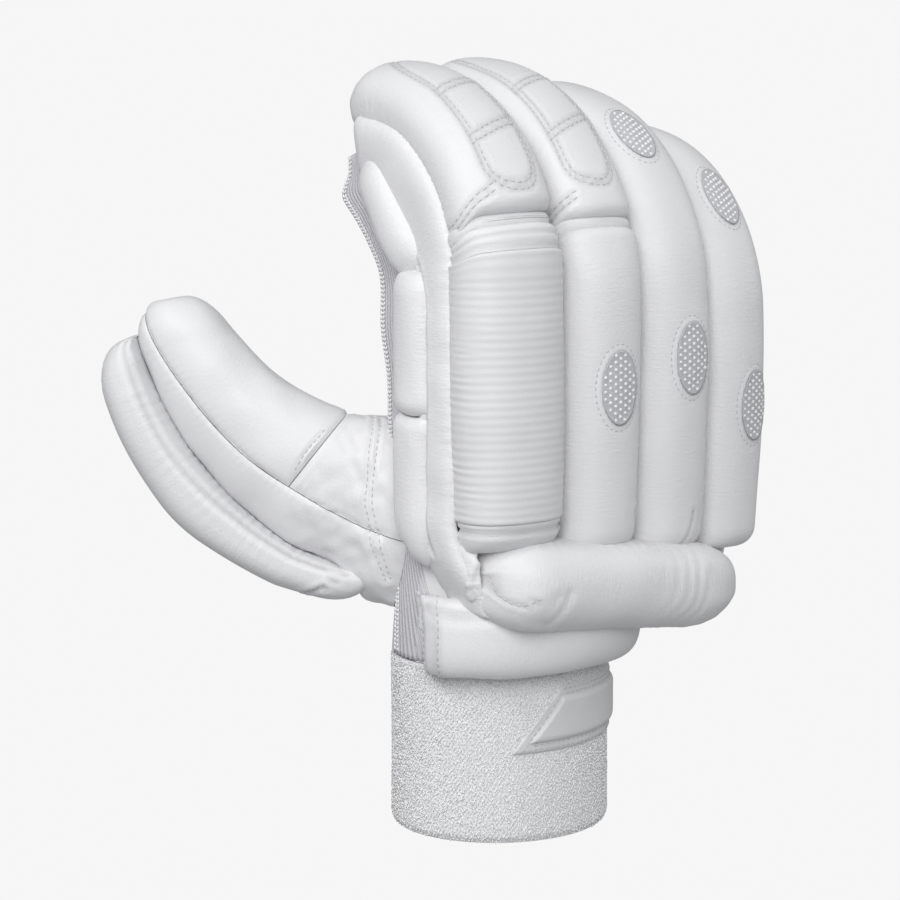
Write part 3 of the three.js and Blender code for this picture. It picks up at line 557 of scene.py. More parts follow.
for run, depth, wide, swell in (
        ([(8.2, -46), (8.2, -10), (8.2, 46)], 0.9, 0.7, 0.25),
        ([(98.4, -46), (98.4, -10), (97.6, 46)], 0.3, 0.6, 0.35),
        ([(101.2, -46), (101.2, -10), (100.6, 46)], 0.45, 0.6, 0.2),
        ([(7.5, 17), (4, 18), (0.5, 17.5)], 0.8, 0.8, 0.3)):
    seam(skins["index_lower_roll"], run, depth, wide, swell)


def gather(skin, amount, pitch, edge, seed):
    """Small puckers, where leather is gathered into the seams along a roll's two edges."""
    away = np.abs(skin["v"])
    inward = np.clip((away - edge) / 8, 0, 1) * np.clip((skin["half"] - away) / 6, 0, 1)
    wander = uneven(skin["points"], 26, seed)
    wave = np.sin(2 * math.pi * skin["u"] / pitch + 2.2 * wander)
    wave = wave * (0.5 + 0.5 * uneven(skin["points"], 14, seed + 1))
    raise_skin(skin, amount * inward * wave)


for seed, (name, skin) in enumerate(skins.items()):
    gather(skin, 0.0 if name.endswith("hinge") else 0.2, 2.7, 15, 40 + seed)
    ripple(skin, 0.28, 34, seed)

# Vents: oval patches of grey mesh with raised white dots, let into the crowns of the rolls under a turned edge
# of leather that is stitched down all round.
VENTS = {
    "middle_vent": {"on": "middle_lower_roll", "along": 0.54, "around": 0.6},
    "ring_lower_vent": {"on": "ring_roll", "along": 0.353, "around": 0.6},
    "ring_upper_vent": {"on": "ring_roll", "along": 0.722, "around": -3.4},
    "little_lower_vent": {"on": "little_roll", "along": 0.298, "around": 1.6},
    "little_upper_vent": {"on": "little_roll", "along": 0.68, "around": -2.2},
}
VENT = {"width": 14.2, "length": 24.6, "rim": 0.35, "stitch": 2.4, "dome": 0.5, "sunk": 0.45}
threads["vent"] = []
for vent in VENTS.values():
    skin = skins[vent["on"]]
    size = rolls[vent["on"]]
    vent["middle"] = size["start"] + vent["along"] * (size["stop"] - size["start"])
    finger = fingers[vent["on"].split("_")[0]]
    vent["stretch"] = 1 + finger["loft"] / finger["radius"] if vent["middle"] > finger["straight"] else 1.0
    u, v = (skin["u"] - vent["middle"]) * vent["stretch"], skin["v"] - vent["around"]
    share = np.maximum(np.hypot(u / (VENT["length"] / 2), v / (VENT["width"] / 2)), 1e-6)
    off = (share - 1) * np.hypot(u, v) / share
    lift = (-VENT["sunk"] / (1 + np.exp(np.minimum((off + 0.5) * 5, 50)))
            + VENT["rim"] * np.exp(-((off - 0.9) / 0.8) ** 2)
            - 0.22 * np.exp(-((off - VENT["stitch"]) / 0.6) ** 2))
    raise_skin(skin, lift)
    # The seam mark darkens the leather at the vent's turned edge: painted shade.
    skin["seam"] = np.maximum(skin["seam"], np.exp(-(off / 0.45) ** 2))
    turn = np.linspace(0, 2 * math.pi, 90, endpoint=False)
    reach = np.array((VENT["length"] / 2, VENT["width"] / 2)) + VENT["stitch"]
    threads["vent"].append((skin, np.stack([vent["middle"] + reach[0] * np.sin(turn) / vent["stretch"],
                                            vent["around"] + reach[1] * np.cos(turn)], axis=-1)))
for skin in skins.values():
    skin["out"] = outward(skin["points"], True)


def finish_piece(made, stands_for=None):
    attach(made, "root")
    if stands_for:
        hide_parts(stands_for)
    return made


for name, skin in skins.items():
    made = closed_object(name + "_leather", skin, leather, 0.6 if name.endswith("hinge") else 1.6)
    finish_piece(made, name)


def bake(source, name):
    """Turns what an object's modifiers make into a plain mesh of its own."""
    depsgraph = bpy.context.evaluated_depsgraph_get()
    mesh = bpy.data.meshes.new_from_object(source.evaluated_get(depsgraph))
    made = bpy.data.objects.new(name, mesh)
    bpy.context.scene.collection.objects.link(made)
    bpy.data.objects.remove(source)
    made.name = mesh.name = name
    return made


def start_tree(name, inputs):
    """A Geometry Nodes tree with its named inputs, and where they and its result are."""
    tree = bpy.data.node_groups.new(name, "GeometryNodeTree")
    tree.interface.new_socket("Geometry", in_out="INPUT", socket_type="NodeSocketGeometry")
    names = {}
    for label, kind in inputs.items():
        socket = tree.interface.new_socket(label, in_out="INPUT", socket_type="NodeSocket" + kind)
        names[label] = socket.identifier
    tree.interface.new_socket("Geometry", in_out="OUTPUT", socket_type="NodeSocketGeometry")
    return tree, names, tree.nodes.new("NodeGroupInput").outputs, tree.nodes.new("NodeGroupOutput").inputs


def grow(name, source, tree, names, values):
    """Runs a tree on an object with its named sizes, and bakes what it makes."""
    modifier = source.modifiers.new("grow", "NODES")
    modifier.node_group = tree
    for label, value in values.items():
        modifier[names[label]] = value
    return bake(source, name)


def guide(name, points, ways, edges=()):
    """Places and ways for a tree to read: points in millimetres, with their named ways."""
    mesh = bpy.data.meshes.new(name)
    mesh.from_pydata((points * MM).tolist(), edges, [])
    for label, way in ways.items():
        kind = "FLOAT_VECTOR" if way.ndim == 2 else "FLOAT"
        field = mesh.attributes.new(label, kind, "POINT")
        field.data.foreach_set("vector" if way.ndim == 2 else "value", way.ravel().astype(np.float32))
    made = bpy.data.objects.new(name, mesh)
    bpy.context.scene.collection.objects.link(made)
    return made


def read_field(tree, name, kind="FLOAT_VECTOR"):
    return node(tree, "GeometryNodeInputNamedAttribute", {"Name": name}, data_type=kind).outputs[0]


def vary(tree, least, most, seed):
    """A random vector for each thing that a tree lays."""
    return node(tree, "FunctionNodeRandomValue", {"Min": least, "Max": most, "Seed": seed},
                data_type="FLOAT_VECTOR").outputs[0]


def make_bead(tree, segments, rings, x, y, z):
    """A small round bead of three named sizes."""
    bead = node(tree, "GeometryNodeMeshUVSphere", {"Segments": segments, "Rings": rings, "Radius": 0.5})
    shape = node(tree, "ShaderNodeCombineXYZ", {"X": x, "Y": y, "Z": z})
    bead = node(tree, "GeometryNodeTransform", {"Geometry": bead.outputs[0], "Scale": shape.outputs[0]})
    return bead.outputs[0]


def end_tree(tree, made, material, result):
    """Makes real what a tree has laid, and gives it its material."""
    made = node(tree, "GeometryNodeRealizeInstances", {"Geometry": made})
    made = node(tree, "GeometryNodeSetMaterial", {"Geometry": made.outputs[0], "Material": material})
    tree.links.new(made.outputs[0], result[0])


def lay(tree, points, thing, facing, material, result, scale=(1.0, 1.0, 1.0)):
    """Lays a smooth thing at each of a tree's points, and ends the tree."""
    thing = node(tree, "GeometryNodeSetShadeSmooth", {"Geometry": thing})
    laid = node(tree, "GeometryNodeInstanceOnPoints", {"Points": points, "Instance": thing.outputs[0],
                                                       "Rotation": facing, "Scale": scale})
    end_tree(tree, laid.outputs[0], material, result)


# Top stitching: waxed thread in even stitches, each one pulled down into the leather at its ends. One tree
# lays it along every seam.
stitching, stitching_names, given, result = start_tree("stitching", {
    "Pitch": "Float", "Length": "Float", "Thickness": "Float", "Turn": "Float", "Thread": "Material"})
run = node(stitching, "GeometryNodeMeshToCurve", {"Mesh": given["Geometry"]})
run = node(stitching, "GeometryNodeResampleCurve", {"Curve": run.outputs[0], "Length": given["Pitch"]},
           mode="LENGTH")
tangent = node(stitching, "GeometryNodeInputTangent").outputs[0]
facing = node(stitching, "FunctionNodeAxesToRotation",
              {"Primary Axis": read_field(stitching, "out"), "Secondary Axis": tangent},
              primary_axis="Z", secondary_axis="X")
bead = make_bead(stitching, 6, 4, given["Length"], given["Thickness"], given["Thickness"])
turned = node(stitching, "ShaderNodeCombineXYZ", {"Z": given["Turn"]})
bead = node(stitching, "GeometryNodeTransform", {"Geometry": bead, "Rotation": turned.outputs[0]})
lay(stitching, run.outputs[0], bead.outputs[0], facing.outputs[0], given["Thread"], result)


def make_thread(name, colour, roughness=0.72):
    """Twisted thread: matt, with the fine slant of its plies, and painted shade in the grooves between them."""
    material, tree, shader, place = start_material(name)
    plies = node(tree, "ShaderNodeTexWave", {"Vector": place, "Scale": 900.0, "Distortion": 1.5}).outputs["Fac"]
    # Painted shade: the colour is dimmed in the grooves between the plies, where the bump sinks.
    paint(tree, shader, colour, spread(tree, plies, 0.86, 1.0))
    emboss(tree, shader, [(plies, 0.4, 0.1 * MM)])
    shader.inputs["Roughness"].default_value = roughness
    return material


# The thread is white; its grey here, darker than the leather, is painted shade of the stitch holes and dents it
# lies in.
shaded_thread = make_thread("white_thread_shaded", (0.62, 0.62, 0.635))


def sew(name, runs, pitch=2.6, length=1.9, thick=0.55, lift=0.0, turn=0.0, colour=shaded_thread, slot="leather"):
    """Stitches along runs of places on skins, each turned by some degrees off its run."""
    points, outs, edges, count = [], [], [], 0
    for skin, run in runs:
        place, out = at(skin, run, lift)
        closed = np.linalg.norm(run[0] - run[-1]) < 4
        edges += [(count + i, count + i + 1) for i in range(len(run) - 1)]
        edges += [(count + len(run) - 1, count)] if closed else []
        points.append(place)
        outs.append(out)
        count += len(run)
    source = guide(name, np.concatenate(points), {"out": np.concatenate(outs)}, edges)
    values = {"Pitch": pitch * MM, "Length": length * MM, "Thickness": thick * MM,
              "Turn": math.radians(turn), "Thread": colour}
    return finish_piece(grow(name, source, stitching, stitching_names, values))


# Vents, their dots: small round studs of white rubber on the mesh, in staggered rows. They lie on a domed
# oval of the mesh's own cloth, a little under the leather's turned edge.
studding, studding_names, given, result = start_tree("studding", {
    "Size": "Float", "Height": "Float", "Seed": "Int", "Stud": "Material"})
facing = node(studding, "FunctionNodeAlignRotationToVector", {"Vector": read_field(studding, "out")}, axis="Z")
bead = make_bead(studding, 10, 6, given["Size"], given["Size"], given["Height"])
points = node(studding, "GeometryNodeMeshToPoints", {"Mesh": given["Geometry"]})
lay(studding, points.outputs[0], bead, facing.outputs[0], given["Stud"], result,
    vary(studding, (0.92, 0.92, 0.9), (1.06, 1.06, 1.1), given["Seed"]))


def make_cloth(name, colour, roughness, cell, depth, recess_shade=0.1, ribbed=0.0):
    """A close woven or knitted ground: small raised cells with painted shade between them, and painted light on
    its rib crests with painted shade in their troughs.
    """
    material, tree, shader, place = start_material(name)
    cells = node(tree, "ShaderNodeTexVoronoi", {"Vector": place, "Scale": 1000.0 / cell, "Randomness": 0.7})
    cloud = node(tree, "ShaderNodeTexNoise", {"Vector": place, "Scale": 60.0, "Detail": 3.0}).outputs["Fac"]
    crest = node(tree, "ShaderNodeAttribute", attribute_name="crest").outputs["Fac"]
    # Painted shade between the raised cells, and painted light on the rib crests with painted shade in their
    # troughs.
    paint(tree, shader, colour, spread(tree, cells.outputs["Distance"], 1.0, 1.0 - recess_shade, last=0.8),
          spread(tree, cloud, 0.95, 1.0, 0.3, 0.7), spread(tree, crest, 1.0 - ribbed, 1.0 + ribbed, -1.0))
    emboss(tree, shader, [(cells.outputs["Distance"], 0.5, depth * MM)], invert=True)
    shader.inputs["Roughness"].default_value = roughness
    return material


vent_mesh = make_cloth("vent_mesh", (0.63, 0.635, 0.655), 0.6, 0.5, 0.25, 0.2)
stud_rubber = make_thread("white_rubber", (0.90, 0.90, 0.91), 0.38)
DOTS = {"across": 2.1, "along": 2.45, "size": 1.3, "high": 1.1}
DOME = {"share": (0, 0.12, 0.3, 0.5, 0.7, 0.85, 0.95, 1), "lift": (1, 1, 0.97, 0.9, 0.75, 0.55, 0.35, 0.1)}
UNDER_MESH = [(0.97, -0.5), (0.5, -0.5), (0, -0.5)]
for seed, (name, vent) in enumerate(VENTS.items()):
    skin = skins[vent["on"]]
    reach = np.array((VENT["length"] / 2, VENT["width"] / 2)) + 0.5
    turn = np.linspace(0, 2 * math.pi, 64, endpoint=False)
    rings = []
    for share, lift in [*zip(DOME["share"], DOME["lift"]), *UNDER_MESH]:
        path = np.stack([vent["middle"] + share * reach[0] * np.sin(turn) / vent["stretch"],
                         vent["around"] + share * reach[1] * np.cos(turn)], axis=-1)
        rings.append(at(skin, path, VENT["sunk"] + VENT["dome"] * lift)[0])
    rings = np.array(rings)
    made = make_object(name + "_mesh", rings, grid_faces(len(rings), 64, True), vent_mesh)
    finish_piece(made, name)
    rows = np.arange(-8, 9)
    along, around = np.meshgrid(rows * DOTS["along"], rows * DOTS["across"], indexing="ij")
    along = along + np.where(rows % 2, DOTS["along"] / 2, 0)[None, :]
    share = np.hypot(along / (reach[0] - 0.9), around / (reach[1] - 0.9))
    inside = share < 1
    path = np.stack([vent["middle"] + along[inside] / vent["stretch"], vent["around"] + around[inside]],
                    axis=-1)
    lifts = VENT["sunk"] + VENT["dome"] * np.interp(share[inside], (0, 0.3, 0.5, 0.7, 0.85, 0.95),
                                                    (1, 0.97, 0.9, 0.75, 0.55, 0.35))
    place, out = at(skin, path)
    source = guide(name + "_dots", place + out * lifts[:, None], {"out": out})
    values = {"Size": DOTS["size"] * MM, "Height": DOTS["high"] * MM, "Seed": seed, "Stud": stud_rubber}
    finish_piece(grow(name + "_dots", source, studding, studding_names, values))

sew("finger_stitches", threads["finger"])
sew("vent_stitches", threads["vent"], pitch=2.3, length=1.6, thick=0.48)

# Ribbed panel: a ribbed cloth laid over the index finger's lower roll and sewn down at its top and bottom, with
# a narrow welt beyond its bottom seam.
RIBS = {"low": 10.6, "high": 97.4, "thick": 0.9, "around": 0.64, "pitch": 2.75, "height": 0.05}


def reckon(tree, operation, *values):
    return node(tree, "ShaderNodeMath", dict(enumerate(values)), operation=operation).outputs[0]


ribbing, ribbing_names, given, result = start_tree("ribbing", {
    "Pitch": "Float", "Height": "Float", "Cloth": "Material"})
along = read_field(ribbing, "measure", "FLOAT")
turns = reckon(ribbing, "MULTIPLY", reckon(ribbing, "DIVIDE", along, given["Pitch"]), 2 * math.pi)
wave = reckon(ribbing, "MULTIPLY", reckon(ribbing, "SINE", turns), given["Height"])
wave = reckon(ribbing, "MULTIPLY", wave, read_field(ribbing, "amount", "FLOAT"))
normal = node(ribbing, "GeometryNodeInputNormal")
rise = node(ribbing, "ShaderNodeVectorMath", {0: normal.outputs[0], "Scale": wave}, operation="SCALE")
raised = node(ribbing, "GeometryNodeSetPosition", {"Geometry": given["Geometry"], "Offset": rise.outputs[0]})
# The crest goes on to the cloth, which paints light on the rib crests and shade in their troughs by it.
crest = reckon(ribbing, "DIVIDE", wave, given["Height"])
raised = node(ribbing, "GeometryNodeStoreNamedAttribute",
              {"Geometry": raised.outputs[0], "Name": "crest", "Value": crest}, data_type="FLOAT")
end_tree(ribbing, raised.outputs[0], given["Cloth"], result)


def measure(made, sheet, along, amount):
    """Marks a sheet with what the ribbing tree reads: a measure in metres, and how much of a rib there is."""
    along = np.concatenate([along, along[:, ::-1]], axis=1)
    amount = np.concatenate([amount, np.zeros(amount.shape)], axis=1)
    places = {tuple(np.round(p * MM, 6)): i for i, p in enumerate(sheet.reshape(-1, 3))}
    found = [places.get(tuple(np.round(v.co, 6)), 0) for v in made.data.vertices]
    for label, values in (("measure", along.ravel() * MM), ("amount", amount.ravel())):
        field = made.data.attributes.new(label, "FLOAT", "POINT")
        field.data.foreach_set("value", values[found].astype(np.float32))


def rib(name, made, size, cloth):
    """Raises ribs on a sheet that has been measured."""
    values = {"Pitch": size["pitch"] * MM, "Height": size["height"] * MM, "Cloth": cloth}
    return grow(name, made, ribbing, ribbing_names, values)


def sheet_faces(rows, count):
    """The faces of a sheet whose rows run over it and back under it, with its two ends closed."""
    faces = grid_faces(rows, 2 * count, True).tolist()
    last = (rows - 1) * 2 * count
    for i in range(count - 1):
        faces.append((i + 1, i, 2 * count - 1 - i, 2 * count - 2 - i))
        faces.append((last + i, last + i + 1, last + 2 * count - 2 - i, last + 2 * count - 1 - i))
    return np.array(faces)


def patch_object(name, skin, low, high, material, lift, thick, edge=1.2):
    """A patch of cloth on a skin, with a rounded edge, measured for its ribs."""
    u, v = np.meshgrid(low, high, indexing="ij")
    place, out = at(skin, np.stack([u.ravel(), v.ravel()], axis=-1))
    shape = (*u.shape, 3)
    off = np.minimum(np.minimum(u - low[0], low[-1] - u), np.minimum(v - high[0], high[-1] - v))
    full = filled(off, edge)
    top = place.reshape(shape) + out.reshape(shape) * (lift + thick * full)[..., None]
    under = place.reshape(shape) + out.reshape(shape) * lift
    sheet = np.concatenate([top, under[:, ::-1]], axis=1)
    marks = np.concatenate([np.stack([v, u], -1), np.stack([v, u], -1)[:, ::-1]], axis=1)
    made = make_object(name, sheet, sheet_faces(len(sheet), u.shape[1]), material, marks)
    measure(made, sheet, u, np.clip((off - 0.4) / 1.4, 0, 1))
    return made


ribbed_cloth = make_cloth("ribbed_cloth", (0.76, 0.76, 0.765), 0.5, 0.45, 0.07, 0.03, 0.02)
skin = skins["index_lower_roll"]
side = skin["half"] * RIBS["around"]
rows = np.arange(RIBS["low"], RIBS["high"], 0.42)
sheet = patch_object("rib_ground", skin, rows, np.linspace(-side, side, 60), ribbed_cloth, 0.15,
                     RIBS["thick"])
finish_piece(rib("index_ribbed_panel_cloth", sheet, RIBS, ribbed_cloth), "index_ribbed_panel")

# Side rolls and side panels: three short rolls in line beside the index finger, on a soft panel that follows
# its curl, and a plainer panel down the little finger's side.
HAND = {"width": 129, "depth": 43, "height": 124, "shift": 25.5, "back": 8.5, "slope": 0.15}
CUFF = {"width": 82, "depth": 67, "height": 64, "wall": 4.5, "hem": 2.5}
SIDE_ROLL = {"width": 20, "loft": 12, "out": -16.5, "low": 103, "joint": 151, "top": 198}
TIP_ROLL = {"width": 17, "reach": 47, "lean": 36, "bow": 1.5}
SIDE_PANELS = {
    "index_side_panel": {"finger": "index", "side": -1, "width": 21.5, "loft": 7, "out": 4.0, "low": 84,
                         "short": 7, "foot_lean": 6.0},
    "outer_side_panel": {"finger": "little", "side": 1, "width": 19, "loft": 6, "out": -3, "low": 88,
                         "short": 10, "foot_lean": 3.0},
}
PANEL_SHAPE = {"along": (0, 0.06, 0.2, 0.6, 0.8, 1), "wide": (1.25, 1.2, 1, 1, 1.24, 1.05),
               "high": (1.0, 1.05, 1, 1, 1.15, 1)}
EDGES = {-1: min(HAND["shift"] - HAND["width"] / 2, -CUFF["width"] / 2), 1: HAND["shift"] + HAND["width"] / 2}


def side_line(line, side, away, out):
    def moved(length):
        point, along, across, outs = line(length)
        return point + across * side * away + outs * out, along, outs, across * side
    return moved


def bowed_line(middle, way, out_way, reach, bow):
    """A nearly straight line about a middle point, whose ends bow back."""
    def line(length):
        share = 2 * np.asarray(length, float)[..., None] / reach - 1
        point = middle + way * share * reach / 2 - out_way * bow * share ** 2
        along = way - out_way * 4 * bow * share / reach
        along = along / np.linalg.norm(along, axis=-1, keepdims=True)
        out = out_way - along * (along @ out_way)[..., None]
        out = out / np.linalg.norm(out, axis=-1, keepdims=True)
        return point, along, np.cross(along, out), out
    return line


def beside_finger(name, side, out):
    finger = fingers[name]
    return side_line(finger["upright"], side, abs(EDGES[side] - finger["x"]) + SEAM_GAP, out)


rolls_line = beside_finger("index", -1, SIDE_ROLL["out"])
low, joint, top = (SIDE_ROLL[key] - fingers["index"]["foot_up"] for key in ("low", "joint", "top"))
lean = math.radians(TIP_ROLL["lean"])
tip_way = np.array((0.0, math.sin(lean), math.cos(lean)))
tip_foot = rolls_line(np.array(top + SEAM_GAP))[0]
tip_line = bowed_line(tip_foot + tip_way * TIP_ROLL["reach"] / 2, tip_way, np.array((-1.0, 0, 0)),
                      TIP_ROLL["reach"], TIP_ROLL["bow"])
SLIM_END = {"wide": 0.4, "high": 0.3}
JOINT_END = {"wide": 0.86, "high": 0.62}
wide, high = SIDE_ROLL["width"], SIDE_ROLL["loft"]
side_rolls = {
    "side_roll_lower": roll_size(rolls_line, low - 1, joint - SEAM_GAP, wide, high, 15, 5,
                                 ends=(SLIM_END, JOINT_END)),
    "side_roll_middle": roll_size(rolls_line, joint, top + 2, wide, high, 5, 9, ends=(JOINT_END, END)),
    "side_roll_upper": roll_size(tip_line, 0, TIP_ROLL["reach"], TIP_ROLL["width"], high, 12, 14,
                                 ends=(END, SLIM_END)),
}


def foot_slant(u, v):
    """Cuts the lowest side roll's foot at an angle."""
    return -3.4 * np.clip(v / 9, -1, 1) * np.exp(-(u - low) ** 2 / 140)


for seed, (name, size) in enumerate(side_rolls.items()):
    skin = roll_skin(size, 0.9, foot_slant if name == "side_roll_lower" else None)
    gather(skin, 0.25, 4.2, 9, 60 + seed)
    near_end = np.exp(-np.minimum(skin["u"] - size["start"], size["stop"] - skin["u"]) / 6)
    ripple(skin, 0.45 * near_end, 9, 70 + seed)
    ripple(skin, 0.3, 22, 80 + seed)
    finish_piece(closed_object(name + "_leather", skin, leather), name)
for seed, (name, size) in enumerate(SIDE_PANELS.items()):
    finger = fingers[size["finger"]]
    side_edge = beside_finger(size["finger"], size["side"], size["out"])

    def line(length, edge=side_edge, lean=size["foot_lean"], foot_up=finger["foot_up"]):
        point, along, across, out = edge(length)
        share = np.clip((118 - foot_up - np.asarray(length, float)[..., None]) / 28, 0, 1)
        eased = share ** 2 * (3 - 2 * share)
        return point + across * lean * eased - out * 1.5 * lean * share ** 2, along, across, out

    panel = roll_size(line, size["low"] - finger["foot_up"], finger["end"] - size["short"], size["width"],
                      size["loft"], 8, 8, PANEL_SHAPE, hang=1)
    skin = roll_skin(panel, 0.9)
    gather(skin, 0.2, 4.6, 6, 90 + seed)
    if size["side"] < 0:
        seam(skin, [(low + 2, -0.3), (joint, -0.4), (top - 16, -0.4), (top - 6, -2.0), (top + 6, -6)],
             1.2, 0.9, 0.35)
    ripple(skin, 0.35, 15, 95 + seed)
    finish_piece(closed_object(name + "_leather", skin, leather), name)

# Hand: a soft leather back and palm, sewn to a knitted strip down each side, all hollow. Finger stalls and the
# thumb open into it.
HAND_ROWS = {"along": (0, 0.12, 0.28, 0.46, 0.68, 1), "open": (0, 0.16, 0.46, 0.76, 0.95, 1),
             "square": (2, 2.2, 2.6, 3, 3.2, 3.2)}
MESH = {"low": -12.4, "high": 3.5, "flare": 16.5, "flare_end": 41, "deep": 14}
LEATHER = 2.0
HAND_LOW = CUFF["height"] + SEAM_GAP
STALL = {"width": 0.74, "narrow": 0.9, "root": 31, "tip": 28, "short": 8, "below": 28, "sink": 0.9,
         "rounding": 10, "blunt": 0.45, "square": 2.5}
SEAT = {"width": 1.24, "deep": 50}
FAR = 400.0
palm_leather = make_leather("palm_leather", (0.76, 0.76, 0.765), roughness=0.5, pebble=0.7, crease=0.0)


def turn_out(made, triangles=False):
    """Turns the faces of a closed mesh outward."""
    tidy = bmesh.new()
    tidy.from_mesh(made.data)
    if triangles:
        bmesh.ops.triangulate(tidy, faces=tidy.faces)
    if tidy.calc_volume(signed=True) < 0:
        bmesh.ops.reverse_faces(tidy, faces=tidy.faces)
    tidy.to_mesh(made.data)
    tidy.free()
    return made


def tube_object(name, rings, material):
    """A closed solid through rings of points, for cutting or to be cut."""
    caps = [np.repeat(ring.mean(axis=0)[None], len(ring), axis=0)[None] for ring in (rings[0], rings[-1])]
    points = np.concatenate([caps[0], rings, caps[1]])
    faces = grid_faces(len(points), points.shape[1], True)
    return turn_out(make_object(name, points, faces, material), triangles=True)


def cut(made, tools, operation="DIFFERENCE"):
    """Cuts some solids out of another one, or keeps what they share. The others stay as they are."""
    for tool in tools:
        modifier = made.modifiers.new("cut", "BOOLEAN")
        modifier.operation, modifier.solver, modifier.object = operation, "MANIFOLD", tool
    name = made.name
    made.name = name + "_uncut"
    return bake(made, name)


def copy_of(made, name):
    other = bpy.data.objects.new(name, made.data.copy())
    bpy.context.scene.collection.objects.link(other)
    return other


def oval(width, depth, centre, square, sides):
    angle = np.arange(sides) * 2 * math.pi / sides
    power = 2 / np.asarray(square)[..., None]
    return (np.asarray(width)[..., None] / 2 * signed_power(np.cos(angle), power),
            centre + np.asarray(depth)[..., None] / 2 * signed_power(np.sin(angle), power))


def hand_block(name, grow, reach=0.0, wrinkle=0.0):
    share = np.linspace(0, 1, 46)
    opened, square = column(HAND_ROWS, "open", share), column(HAND_ROWS, "square", share)
    opened = opened - opened[0] * (1 - share) ** 8
    width = CUFF["width"] + (HAND["width"] - CUFF["width"]) * opened + 2 * grow
    depth = CUFF["depth"] + (HAND["depth"] - CUFF["depth"]) * opened + 2 * grow
    x, back = oval(width, depth, 0.0, square, 120)
    x, back = x + HAND["shift"] * opened[:, None], back + HAND["back"] * opened[:, None]
    up = HAND_LOW + HAND["height"] * share + grow * share
    up[0] -= reach
    rings = hand_point(x, back, up[:, None] - HAND["slope"] * x * share[:, None])
    if wrinkle:
        height = wrinkle * uneven(rings, 24, 5) * np.sin(math.pi * share)[:, None]
        rings = rings + outward(rings, True) * height[..., None]
    return tube_object(name, rings, palm_leather)


def place_on(line, length, across, out):
    point, _, sideways, outs = line(length)
    return (point[..., None, :] + sideways[..., None, :] * across[..., None]
            + outs[..., None, :] * out[..., None])


def stall_tube(name, finger, inset, count=50, wrinkle=0.0):
    """A finger's stall, drawn in by an inset, with folds on the inside of its curl."""
    start, stop = finger["straight"] - STALL["below"], finger["end"] - STALL["short"] - inset
    turn = np.linspace(0, math.pi / 2, 9)
    length = np.concatenate([np.linspace(start, stop - STALL["rounding"], count),
                             stop - STALL["rounding"] * (1 - np.sin(turn[1:]))])
    share = (length - start) / (stop - start)
    depth = STALL["root"] + (STALL["tip"] - STALL["root"]) * share
    end = STALL["blunt"] + (1 - STALL["blunt"]) * filled(stop - length, STALL["rounding"])
    width = (finger["width"] * STALL["width"] * (1 + (STALL["narrow"] - 1) * share) - 2 * inset) * end
    across, out = oval(width, (depth - 2 * inset) * end, 0.0, np.full(len(length), STALL["square"]), 48)
    out = out - STALL["sink"] - depth[:, None] / 2
    rings = place_on(finger["line"], length, across, out)
    if wrinkle:
        rows = np.sin(2 * math.pi * length / 7.5)[:, None] * 0.6 + uneven(rings, 12, round(finger["width"]))
        inner = np.clip(-out - depth[:, None] * 0.55, 0, 6) / 6
        rings = rings - outward(rings, True) * (wrinkle * rows * inner)[..., None]
    return tube_object(name, rings, palm_leather)


def seat_block(name, finger, sink):
    """The room over a finger's back that its roll takes up."""
    half = finger["width"] * SEAT["width"] / 2
    across, out = np.array([-half, half, half, -half]), np.array([-sink, -sink, SEAT["deep"], SEAT["deep"]])
    length = np.array([-SEAT["deep"], finger["straight"], finger["straight"] + finger["loft"]])
    return tube_object(name, place_on(finger["line"], length, across[None], out[None]), palm_leather)


def drop(*tools):
    for tool in tools:
        bpy.data.objects.remove(tool)


THUMB = {"x": -31.2, "back": -20, "up": 88.6, "heading": 42, "rise": 14, "radius": 120, "curl": 63, "root": 34,
         "width": 31.5}
GUARD = {"start": 9, "short": 3.5, "width": 35.5, "loft": 27.5, "rounding": 13}
SLEEVE = {"past": 6, "base": 85, "rounding": 13, "sink": 0.7, "blunt": 0.35, "square": 2.2, "lift": 3.6}
SLEEVE_SHAPE = {"along": (0, 0.2, 0.34, 0.45, 0.6, 0.8, 0.92, 1),
                "deep": (1.6, 1.75, 1.7, 1.5, 1.27, 0.99, 0.84, 0.66),
                "wide": (1.15, 1.15, 1.08, 1, 1, 0.96, 0.86, 0.72),
                "gusset": (0.54, 0.54, 0.54, 0.53, 0.42, 0.28, 0.12, 0.02)}
heading, rise = math.radians(THUMB["heading"]), math.radians(THUMB["rise"])
flat_way = np.array((-math.cos(heading), math.sin(heading), 0.0))
thumb_start = flat_way * math.cos(rise) + UP * math.sin(rise)
thumb_curl = -flat_way * math.sin(rise) + UP * math.cos(rise)
thumb_foot = hand_point(THUMB["x"], THUMB["back"], THUMB["up"]) - thumb_start * THUMB["root"]
thumb_line = spine(thumb_foot, thumb_start, thumb_curl, THUMB["root"], THUMB["radius"])
thumb_end = THUMB["root"] + THUMB["radius"] * math.radians(THUMB["curl"])
sleeve_end = thumb_end + SLEEVE["past"]


def sleeve_at(name, length):
    return THUMB["width"] * column(SLEEVE_SHAPE, name, np.asarray(length) / sleeve_end)


def sleeve_lift(length):
    """How far the sleeve's back seam stands out under the guard, and at its root, where it flares."""
    length = np.asarray(length)
    return SLEEVE["lift"] * np.clip((length - 45) / 25, 0, 1) + 10 * np.clip((60 - length) / 18, 0, 1) ** 1.3


